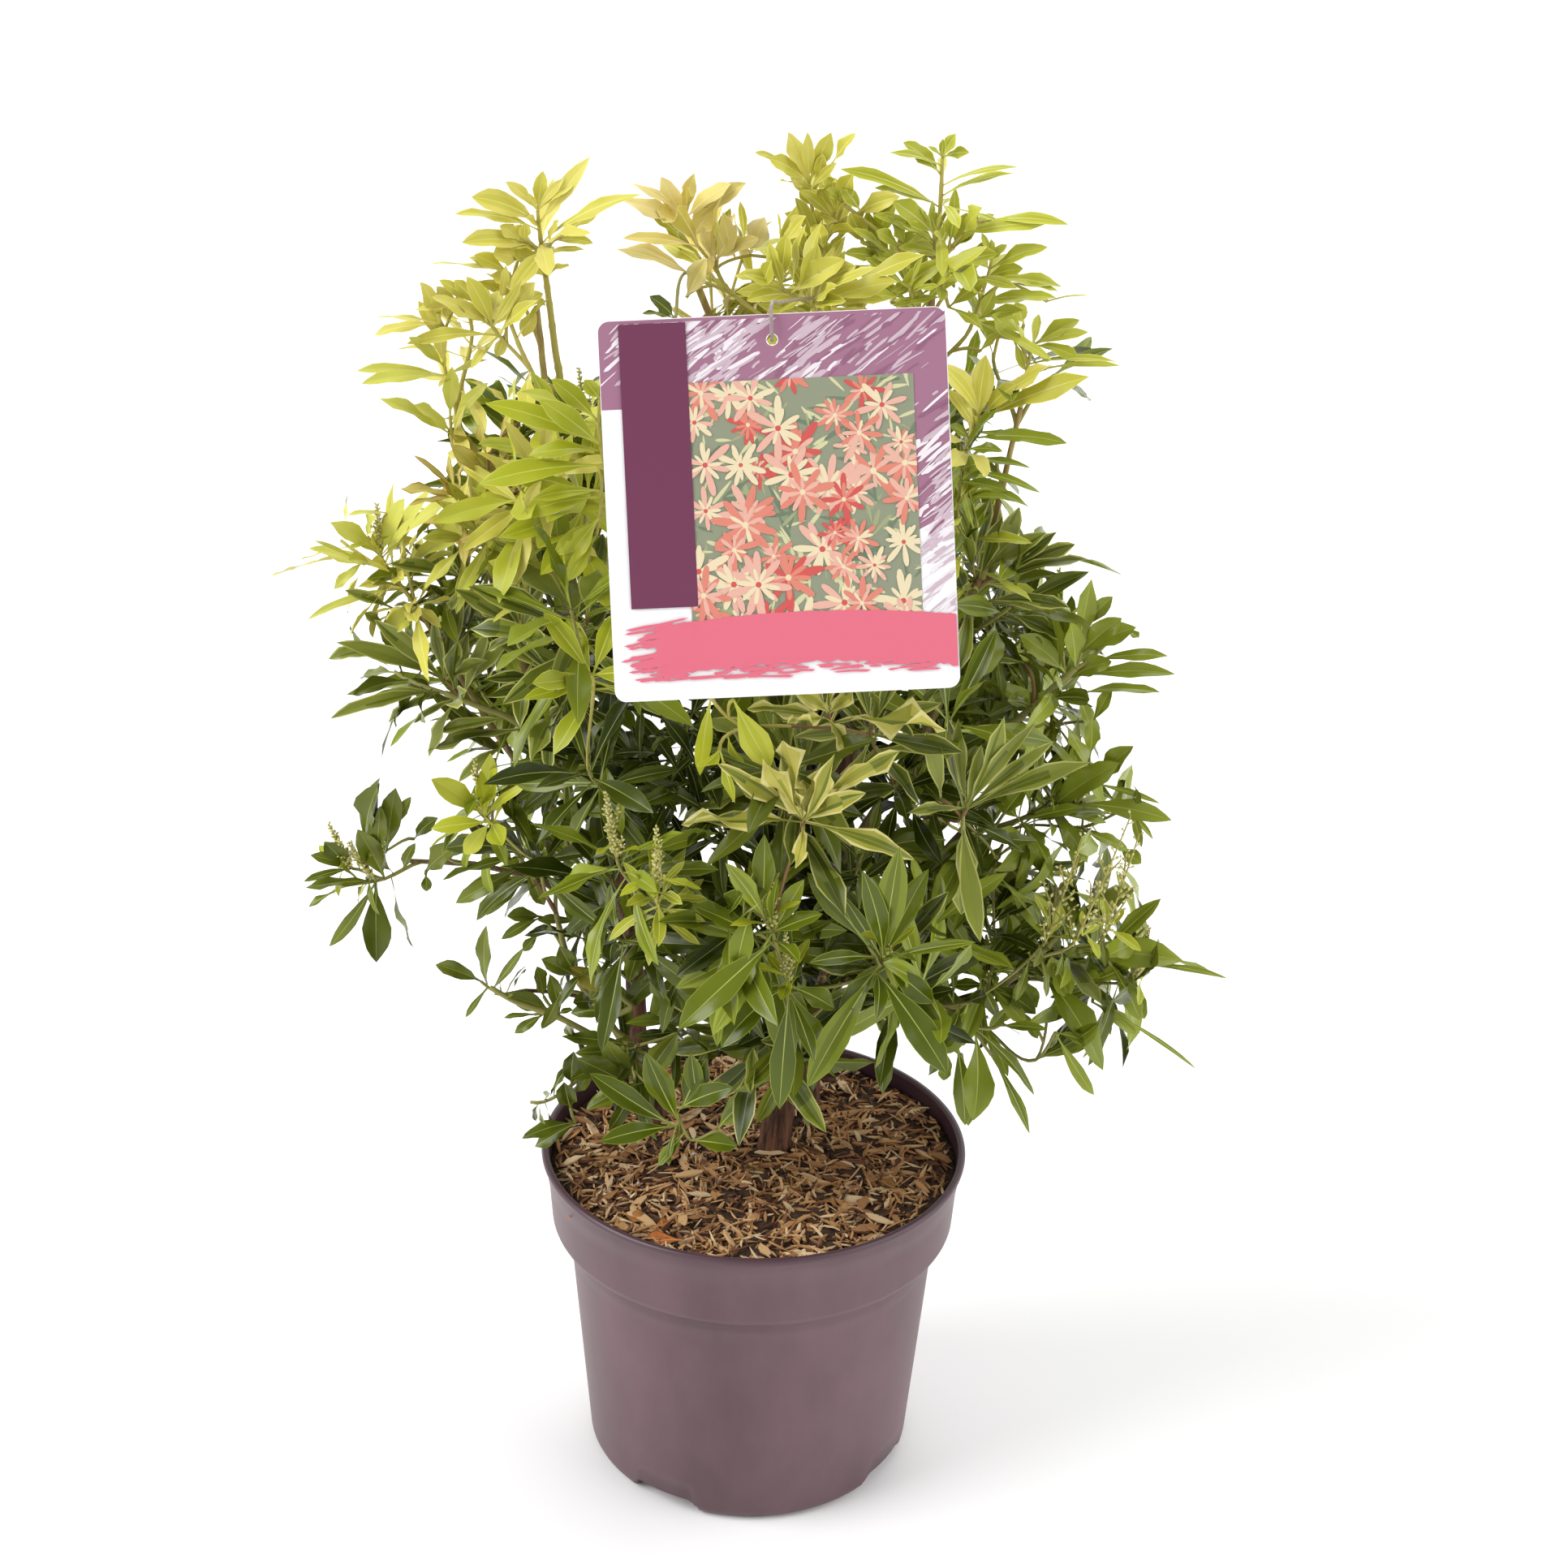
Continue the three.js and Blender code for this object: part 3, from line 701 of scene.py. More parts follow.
# Ridges round the limb, their pace along it and their height.
BARK_RIDGES = ((2.2, 0.06, 1.2), (5, 0.2, 0.9))
SCAR_HEIGHT = 0.16
SCAR_REACH = 1.6


def limb_sections(name):
    """Centres and radii of a limb, foot first, from cuts square to its run."""
    mesh = frame["nodes"][name].data
    points = node_points(name)
    middle = points.mean(0)
    axis = np.array([0.0, 0.0, 1.0])
    if name not in STEMS:
        axis = np.linalg.svd(points - middle, full_matrices=False)[2][0]
    along = (points - middle) @ axis
    edges = {tuple(sorted(edge)) for edge in (tuple(e.vertices) for e in mesh.edges)}
    low, high = along.min(), along.max()
    rows = []
    for fraction in np.linspace(FIRST_CUT, 1 - FIRST_CUT, CUTS):
        level = low + (high - low) * fraction
        crossings = []
        for a, b in edges:
            if (along[a] - level) * (along[b] - level) < 0:
                t = (level - along[a]) / (along[b] - along[a])
                crossings.append(points[a] + (points[b] - points[a]) * t)
        crossings = np.unique(np.round(crossings, 7), axis=0)
        centre = crossings.mean(0)
        rows.append([*centre, np.linalg.norm(crossings - centre, axis=1).mean()])
    rows = np.array(rows)
    step = FIRST_CUT / ((1 - 2 * FIRST_CUT) / (CUTS - 1))
    first = rows[0] + (rows[0] - rows[1]) * step
    last = rows[-1] + (rows[-1] - rows[-2]) * step
    rows = np.vstack([first, rows, last])
    return rows if rows[:3, 3].mean() > rows[-3:, 3].mean() else rows[::-1]


def bark_relief(seed, ridge, steps_long):
    """Ridges that run along a limb, with scars of old leaves round it."""
    rng = random.Random(seed)
    scars = [(rng.uniform(0.05, 0.98), rng.uniform(0, TURN)) for _ in range(steps_long // 4)]
    offset = rng.uniform(0, 50)

    def relief(along, angle):
        scale = 1 + ridge * sum(
            height * noise.noise(Vector((*polar(across, angle), along * steps_long * pace + offset)))
            for across, pace, height in BARK_RIDGES
        )
        for place, bearing in scars:
            apart = abs(place - along) * steps_long / SCAR_REACH
            if apart < 2:
                facing = max(0.0, math.cos(angle - bearing)) ** 4
                scale += SCAR_HEIGHT * facing * math.exp(-apart * apart)
        return scale

    return relief


def bark_material(settings):
    material, tree, shader = new_material("Old bark", 0.8)
    mask = mottled(tree, shader, settings.bark_dark, settings.bark_light, 330.0, 0.12, 0.16)
    varied_roughness(tree, shader, mask, 0.9, 0.7)
    grained(tree, shader, 500.0, 0.9, 0.8 * MM, 0.25)
    return material


def young_bark_material(settings):
    """Brown near the stems and yellow-green towards the leaders, mottled all the way."""
    material, tree, shader = new_material("Young bark", 0.6)
    place = add_node(tree, "ShaderNodeTexCoord")
    split = add_node(tree, "ShaderNodeSeparateXYZ", {0: place.outputs["Object"]})
    height = add_node(
        tree, "ShaderNodeMapRange", {"Value": split.outputs["Z"], "From Min": 0.28, "From Max": 0.48}
    )
    values = {"Scale": 260.0, "Stretch": 0.3, "Contrast": 0.25}
    low = use_group(tree, mottle_group(), {"Colour A": settings.bark_dark, "Colour B": settings.young_low, **values})
    high = use_group(
        tree, mottle_group(), {"Colour A": tint("8A6A3E"), "Colour B": settings.young_high, **values}
    )
    mix = add_node(
        tree,
        "ShaderNodeMix",
        {0: height.outputs[0], 6: low.outputs["Colour"], 7: high.outputs["Colour"]},
        data_type="RGBA",
    )
    tree.links.new(mix.outputs[2], shader.inputs["Base Color"])
    grained(tree, shader, 500.0, 0.5, 0.5 * MM, 0.4)
    return material


def make_limbs(settings):
    bark = bark_material(settings)
    young = young_bark_material(settings)
    for number, name in enumerate(STEMS + BOUGHS):
        sections = limb_sections(name)
        run = np.linalg.norm(np.diff(sections[:, :3], axis=0), axis=1).sum()
        steps = int(run / BARK_STEP)
        line = smooth_line(sections, steps)
        old = name in STEMS
        if not old:
            line[:, 3] *= np.linspace(1, settings.slimming, steps)
        relief = bark_relief(100 + number, settings.ridge if old else settings.ridge * 0.6, steps)
        parts = MeshParts()
        parts.add(*sweep(line[:, :3], line[:, 3], settings.sides, relief))
        limb = new_piece(f"bark_{name}", parts, [bark if old else young])
        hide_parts(name)


# ---------------------------------------------------------------- leaf form
STATIONS = np.array([0.0, 0.06, 0.17, 0.3, 0.44, 0.57, 0.69, 0.81, 0.92])
PETIOLE = 0.07
PETIOLE_HALF = 0.55 * MM
RIB_HALF = 0.36 * MM
COLUMNS = 8
LEAF_POINTS = len(STATIONS) * COLUMNS + 1
LEAF_PEAK = 0.1859  # the most that the outline's curve reaches
DROOP_CURVE = 1.15
WAVES = 1.9
LEAF_FIELDS = ("length", "width", "droop", "sway", "twist", "fold", "wave", "phase", "rim")


def leaf_faces():
    """Faces of one leaf, with the strip each lies in: rim, outer, inner, rib and back to rim."""
    strips = (0, 1, 2, 3, 2, 1, 0)
    faces = []
    places = []
    for i in range(len(STATIONS) - 1):
        for j in range(COLUMNS - 1):
            a = i * COLUMNS + j
            faces.append((a, a + COLUMNS, a + COLUMNS + 1, a + 1))
            places.append(strips[j])
    last = (len(STATIONS) - 1) * COLUMNS
    for j in range(COLUMNS - 1):
        faces.append((last + j, LEAF_POINTS - 1, last + j + 1))
        places.append(strips[j])
    return faces, places


def leaf_outline(width):
    """Half width at each station: a lance shape, widest past its middle, with faint teeth."""
    blade = np.clip((STATIONS - PETIOLE) / (1 - PETIOLE), 0, 1)
    shape = blade**1.5 * (1 - blade)
    half = np.maximum(width[:, None] / 2 * shape / LEAF_PEAK, PETIOLE_HALF)
    teeth = np.where(np.arange(len(STATIONS)) % 2 == 1, 1.0, 0.955)
    return half * teeth


def leaf_grid(leaves):
    """Points of all the leaves at once: an array of leaf, point and coordinate."""
    value = {name: np.array([leaf[name] for leaf in leaves]) for name in LEAF_FIELDS}
    count = len(leaves)
    along = np.append(STATIONS, 1.0)
    middle = (along[1:] + along[:-1]) / 2
    pitch = -value["droop"][:, None] * middle**DROOP_CURVE
    yaw = value["sway"][:, None] * middle
    advance = np.diff(along) * value["length"][:, None]
    zero = np.zeros((count, 1))
    x = np.hstack([zero, np.cumsum(np.cos(pitch) * np.cos(yaw) * advance, axis=1)])
    y = np.hstack([zero, np.cumsum(np.cos(pitch) * np.sin(yaw) * advance, axis=1)])
    z = np.hstack([zero, np.cumsum(np.sin(pitch) * advance, axis=1)])
    spine = np.stack([x, y, z], axis=-1)

    pitch = -value["droop"][:, None] * STATIONS**DROOP_CURVE
    yaw = value["sway"][:, None] * STATIONS
    twist = value["twist"][:, None] * STATIONS
    across = np.stack([-np.sin(yaw), np.cos(yaw), np.zeros_like(yaw)], axis=-1)
    above = np.stack([-np.sin(pitch) * np.cos(yaw), -np.sin(pitch) * np.sin(yaw), np.cos(pitch)], axis=-1)
    turn_cos = np.cos(twist)[..., None]
    turn_sin = np.sin(twist)[..., None]
    side = across * turn_cos + above * turn_sin
    face = above * turn_cos - across * turn_sin

    half = leaf_outline(value["width"])
    rib = np.minimum(RIB_HALF * (1.15 - STATIONS), 0.3 * half)
    rim = np.minimum(value["rim"][:, None], 0.4 * half)
    middle_out = rib + (half - rim - rib) * 0.5
    offsets = np.stack([-half, rim - half, -middle_out, -rib, rib, middle_out, half - rim, half], axis=-1)
    share = np.abs(offsets) / half[..., None]
    wave_phase = value["phase"][:, None] + STATIONS * TURN * WAVES
    left = np.sin(wave_phase)[..., None]
    right = np.sin(wave_phase + 1.7)[..., None]
    ripple = np.where(offsets < 0, left, right) * share**2 * value["wave"][:, None, None] * half[..., None]
    rise = np.abs(offsets) * np.tan(value["fold"])[:, None, None] * (1 - 0.3 * share) + ripple

    grid = spine[:, :-1, None, :] + side[:, :, None, :] * offsets[..., None] + face[:, :, None, :] * rise[..., None]
    grid = np.concatenate([grid.reshape(count, -1, 3), spine[:, -1:, :]], axis=1)

    ahead = np.array([leaf["ahead"] for leaf in leaves])
    upper = np.array([leaf["upper"] for leaf in leaves])
    beside = np.cross(upper, ahead)
    basis = np.stack([ahead, beside, upper], axis=-1)
    origin = np.array([leaf["origin"] for leaf in leaves])
    return np.einsum("nij,npj->npi", basis, grid) + origin[:, None, :]


# ---------------------------------------------------------------- tints of leaves
# Each livery: blade tints from deep to light, rim, rib, roughness and the record's slot.
Livery = namedtuple("Livery", "blades rim rib roughness slot")
LIVERIES = {
    "lime": Livery(("B0AE34", "BDB940", "CAC44C", "D5CC62"), "DCD474", "E0DA86", 0.4, "foliage_lime"),
    "bright": Livery(("99A01E", "A5AB24", "B1B62E", "BDC03C"), "C2C448", "C8CA5C", 0.34, "foliage_lime"),
    "peach": Livery(("D6C65C", "E0D076", "E8D88E", "EDDEA4"), "EEDAA6", "EFE2B0", 0.46, "foliage_lime"),
    "spring": Livery(("A4A82C", "B1B536", "BEC042", "C9C956"), "CCCC66", "CFCD7A", 0.38, "foliage_fresh"),
    "fresh": Livery(("505D0E", "636F15", "76821D", "8A952D"), "869030", "AEB65C", 0.25, "foliage_fresh"),
    "deep": Livery(("303A09", "434D0E", "576116", "6E7722"), "5C6620", "929C4A", 0.26, "foliage_deep"),
    "margined": Livery(("363F0D", "495314", "616A1E", "828A34"), "B2B264", "7A843C", 0.32, "foliage_deep"),
    "cream": Livery(("48540F", "69721D", "999838", "BEB656"), "D2CA80", "8A9232", 0.36, "foliage_deep"),
    "bronze": Livery(("989232", "A89E3A", "B8AC4A", "C6B85E"), "AE9044", "C4B866", 0.4, "foliage_bronze"),
    "fallen": Livery(("A85A28", "B86C30", "9C6A34", "8E7038"), "7E4A26", "C08A52", 0.6, "foliage_bronze"),
}
VARIEGATED = ("margined", "cream", "fallen")
LIGHTEST = 3
RIM_FINISH = 4
RIB_FINISH = 5
FINISHES = 6


def livery_materials(name):
    """Six finishes: four blade tints, the rim and the rib."""
    livery = LIVERIES[name]
    rows = [(number, code, livery.roughness) for number, code in enumerate(livery.blades, 1)]
    rows += [("rim", livery.rim, livery.roughness), ("rib", livery.rib, livery.roughness + 0.1)]
    return [plain_finish(f"Leaf {name} {label}", tint(code), rough, 1100.0, 0.2, 0.3) for label, code, rough in rows]


def leaf_finish(livery, step, strips, rng):
    """Finish of each face of a leaf; on variegated leaves the tints break into blotches."""
    plain = livery not in VARIEGATED
    outer = min(LIGHTEST, step + (rng.choice((0, 0, 1)) if plain else 1))
    finish = (RIM_FINISH, outer, step, RIB_FINISH)
    if plain:
        return [finish[strip] for strip in strips]
    lighter = [rng.random() < 0.4 for _ in range(9)]
    return [
        min(LIGHTEST, finish[strip] + lighter[i % 7 % 3 + 3 * (i // 21)]) if strip in (1, 2) else finish[strip]
        for i, strip in enumerate(strips)
    ]


# ---------------------------------------------------------------- habits of shoots
# leaf length mm, length over width, number of leaves, leafy stretch mm, opening at the tip and foot and
# droop in degrees, wave, fold in degrees, rim mm, share of its length that the youngest leaf has
Habit = namedtuple("Habit", "length slimness leaves leafy tip_open foot_open droop wave fold rim youth")
HABITS = {
    "lime": Habit(51, 4.7, 21, 60, 20, 94, 26, 0.4, 22, 0.35, 0.4),
    "bright": Habit(52, 3.7, 9, 18, 34, 104, 18, 0.2, 16, 0.35, 0.8),
    "peach": Habit(52, 4.5, 20, 60, 16, 82, 20, 0.45, 22, 0.35, 0.45),
    "spring": Habit(52, 4.8, 20, 62, 22, 98, 32, 0.36, 22, 0.35, 0.4),
    "fresh": Habit(60, 4.9, 15, 24, 16, 128, 30, 0.34, 22, 0.35, 0.7),
    "deep": Habit(50, 4.7, 16, 30, 20, 122, 36, 0.4, 24, 0.35, 0.75),
    "margined": Habit(54, 4.8, 15, 26, 16, 108, 34, 0.6, 24, 0.7, 0.65),
    "cream": Habit(58, 5.2, 13, 14, 10, 112, 34, 1.5, 26, 0.9, 0.5),
    "bronze": Habit(46, 4.6, 16, 34, 18, 92, 40, 0.65, 22, 0.55, 0.5),
}

# Shoots that show, listed: x y z in mm, lean to the right and towards the front in degrees, habit,
# size and number of bud spikes. Where the size is negative the leaves that show are placed one by one.
SHOOTS = [
    # left leaders
    (-109, -6, 685, -5, 4, "lime", -0.9, 0),
    (-130, -14, 632, -32, 6, "lime", -0.9, 0),
    (-154, -8, 611, -8, 6, "lime", -0.8, 0),
    (-152, -8, 578, -5, 6, "lime", -0.8, 0),
    # the fork beside the card
    (-73, -92, 590, -43, 30, "bright", -0.9, 0),
    (-88, -66, 606, -12, 20, "bright", 0.6, 0),
    (-133, -30, 545, -10, 20, "spring", 0.65, 0),
    (-148, -30, 557, -35, 6, "bronze", -0.6, 0),
    (-112, -48, 541, 10, 40, "spring", 0.65, 0),
    # left side
    (-188, -8, 516, -19, 6, "lime", -0.9, 1),
    (-159, -6, 451, -65, 6, "margined", -1.0, 0),
    (-116, -44, 492, -11, 6, "margined", -0.9, 0),
    (-113, -50, 524, -3, 6, "spring", -0.5, 1),
    (-77, -118, 500, -22, 58, "bright", 0.78, 0),
    (-100, -44, 470, -30, 26, "margined", 0.9, 0),
    (-135, -50, 397, -42, 10, "bright", -0.7, 1),
    (-200, 5, 333, -96, 6, "deep", -0.9, 1),
    (-212, 5, 340, -90, 6, "deep", -0.6, 2),
    # centre
    (-66, -110, 405, 0, 16, "fresh", 0.9, 2),
    (-80, -100, 446, -10, 14, "deep", 0.95, 0),
    (-46, -128, 400, 8, 24, "spring", 0.55, 2),
    (-76, -46, 432, -20, 20, "deep", 0.8, 0),
    (-86, -40, 446, -30, 16, "deep", 0.8, 0),
    (-96, -30, 416, -34, 10, "deep", 0.8, 0),
    (64, -66, 427, 10, 24, "deep", 0.85, 0),
    (75, -50, 429, 24, 16, "deep", 0.8, 0),
    (99, -50, 397, 30, 20, "deep", 0.8, 0),
    (-21, -84, 418, -6, 24, "deep", 0.8, 0),
    (-26, -70, 335, -40, 20, "deep", 0.8, 0),
    (51, -84, 401, 20, 20, "deep", 0.8, 0),
    (131, -16, 387, 40, 10, "fresh", 0.7, 0),
    (122, -30, 311, 40, 6, "fresh", 0.85, 0),
    (118, -30, 334, 30, 6, "deep", 0.7, 0),
    (-90, -16, 316, -40, 8, "deep", 0.7, 0),
    (-117, -40, 372, -64, 12, "deep", 1.0, 0),
    (-18, -132, 470, 175, 30, "bright", -0.6, 0),
    (21, -134, 437, 14, 20, "cream", -0.8, 0),
    (31, -118, 484, 6, 20, "cream", -0.8, 0),
    (97, -100, 430, 13, 14, "margined", -0.8, 0),
    (52, -96, 470, 18, 30, "margined", 0.9, 0),
    (8, -132, 379, -9, 14, "fresh", -0.7, 1),
    (60, -122, 361, 7, 14, "fresh", -0.8, 1),
    (16, -128, 349, -6, 14, "fresh", -0.7, 1),
    # right side
    (103, -12, 513, 28, 10, "margined", -0.9, 0),
    (108, 8, 500, 30, -6, "deep", 0.8, 0),
    (126, 8, 472, 50, -4, "fresh", 0.8, 0),
    (140, 12, 436, 56, -6, "fresh", 0.8, 0),
    (144, 12, 404, 62, 0, "fresh", 0.75, 0),
    (136, 10, 372, 70, 0, "fresh", 0.75, 0),
    (-128, 14, 520, -40, -6, "fresh", 0.7, 0),
    (-140, 10, 480, -50, 0, "fresh", 0.8, 0),
    (-166, 10, 502, -50, 0, "fresh", 0.65, 0),
    (-156, 8, 488, -44, 0, "margined", 0.65, 0),
    (120, -14, 500, 44, 6, "deep", 1.0, 0),
    (153, -8, 462, 48, 6, "fresh", -0.9, 0),
    (144, -10, 451, 84, 14, "deep", 1.0, 0),
    (146, -6, 388, 40, 8, "fresh", -0.9, 0),
    (165, -26, 321, 58, 8, "fresh", -0.8, 0),
    (143, -64, 343, 30, 8, "deep", -0.5, -1),
    (157, -66, 344, 24, 8, "deep", -0.5, -1),
    (173, -50, 339, 8, 6, "deep", -0.5, -1),
    (108, -50, 300, 67, 10, "deep", -0.9, 0),
    (122, -10, 270, 70, 0, "deep", 0.6, 0),
    # low sprays
    (-139, 0, 271, -71, 0, "deep", -0.4, 0),
    (-109, 0, 261, -61, 0, "deep", -0.5, 0),
    (-119, -20, 217, -71, 6, "deep", -0.5, 0),
    (-94, -14, 289, -35, 6, "deep", -0.5, 0),
    (-40, -62, 230, -130, 10, "fresh", -0.6, 0),
    (-65, -40, 241, -100, 6, "deep", -0.8, 0),
    (-62, -20, 254, -58, 10, "deep", 0.9, 0),
    # top leaders
    (-42, 18, 678, -10, 0, "peach", -0.9, 0),
    (-27, 18, 659, 1, 0, "peach", -0.8, 0),
    (20, -12, 656, 4, 20, "lime", 0.85, 0),
    (16, 6, 699, -5, 0, "lime", -0.7, 0),
    (29, 4, 686, 2, 6, "lime", -0.8, 0),
    (77, 0, 713, -1, 0, "spring", -0.6, 0),
    (82, -6, 675, 1, 4, "spring", -0.9, 0),
    (18, -40, 654, -13, 10, "lime", -0.8, 0),
    (4, -40, 662, -11, 10, "lime", -0.8, 0),
    (64, -14, 656, -6, 16, "spring", 0.9, 0),
    # upper right
    (124, -2, 627, 17, 6, "spring", -0.9, 0),
    (95, -2, 638, 7, 6, "spring", -0.9, 0),
    (102, -4, 667, 9, 0, "spring", -0.6, 0),
    (75, -4, 678, 3, 0, "spring", -0.6, 0),
    (98, -24, 595, 28, 10, "lime", -0.9, 0),
    (93, -20, 580, 22, 10, "fresh", -0.8, 0),
    (93, -16, 556, 36, 8, "spring", 0.8, 0),
    # fill between them
    (-58, -60, 434, -10, 20, "deep", 0.8, 0),
    (123, -24, 395, 30, 16, "deep", 0.8, 0),
    (120, -26, 372, 10, 10, "fresh", 0.7, 0),
    (-38, -60, 334, -10, 24, "deep", 0.75, 0),
    (-36, -36, 276, 20, 20, "deep", 0.6, 0),
    (127, -16, 284, 40, 6, "deep", 0.65, 0),
    (97, -50, 413, 10, 16, "deep", 0.7, 0),
    (-177, -4, 509, -30, 6, "lime", 0.6, 0),
    (-147, -10, 507, -20, 6, "margined", 0.7, 0),
    (146, 0, 389, 40, 6, "fresh", 0.7, 0),
    (-119, 4, 645, -10, 6, "lime", 0.7, 0),
    (-144, 2, 635, -30, 6, "lime", 0.65, 0),
    (22, 16, 673, 0, 6, "lime", 0.8, 0),
    (-36, -56, 455, -10, 20, "deep", 0.85, 0),
    (-44, -60, 423, -20, 24, "deep", 0.85, 0),
    (-27, -72, 436, 10, 24, "deep", 0.85, 0),
    (-56, -50, 408, -30, 20, "deep", 0.8, 0),
    (92, -56, 404, 10, 16, "deep", 0.75, 0),
    (45, -80, 379, 10, 20, "deep", 0.7, 0),
    (152, -4, 439, 40, 6, "fresh", 0.8, 0),
    (114, -40, 316, 20, 10, "fresh", 0.7, 0),
    (-142, -20, 386, -40, 6, "fresh", 0.6, 0),
]

# Bare stalks that show: depth, habit whose tint they have, radius at the foot and line of (x, z), in mm.
STALKS = [
    (-2, "lime", 1.9, [(-100, 602), (-102, 619), (-104, 637), (-106, 654), (-108, 669)]),
    (-20, "lime", 1.4, [(-106, 603), (-112, 614), (-117, 625), (-121, 636)]),
    (-10, "fresh", 2.0, [(-69, 246), (-79, 249), (-104, 263), (-125, 271), (-140, 280)]),
    (-18, "fresh", 2.0, [(-68, 255), (-74, 261), (-84, 276), (-93, 290), (-100, 310), (-104, 329)]),
    (-22, "fresh", 1.8, [(-65, 277), (-69, 282), (-79, 295), (-86, 307)]),
    (-24, "fresh", 2.3, [(84, 283), (113, 286), (133, 302), (143, 312), (153, 325)]),
    (-12, "fresh", 2.2, [(115, 430), (128, 441), (141, 455), (154, 468)]),
    (-14, "margined", 2.3, [(92, 488), (97, 499), (104, 514)]),
    (-8, "fresh", 2.1, [(-102, 404), (-122, 429), (-142, 438), (-159, 445)]),
]

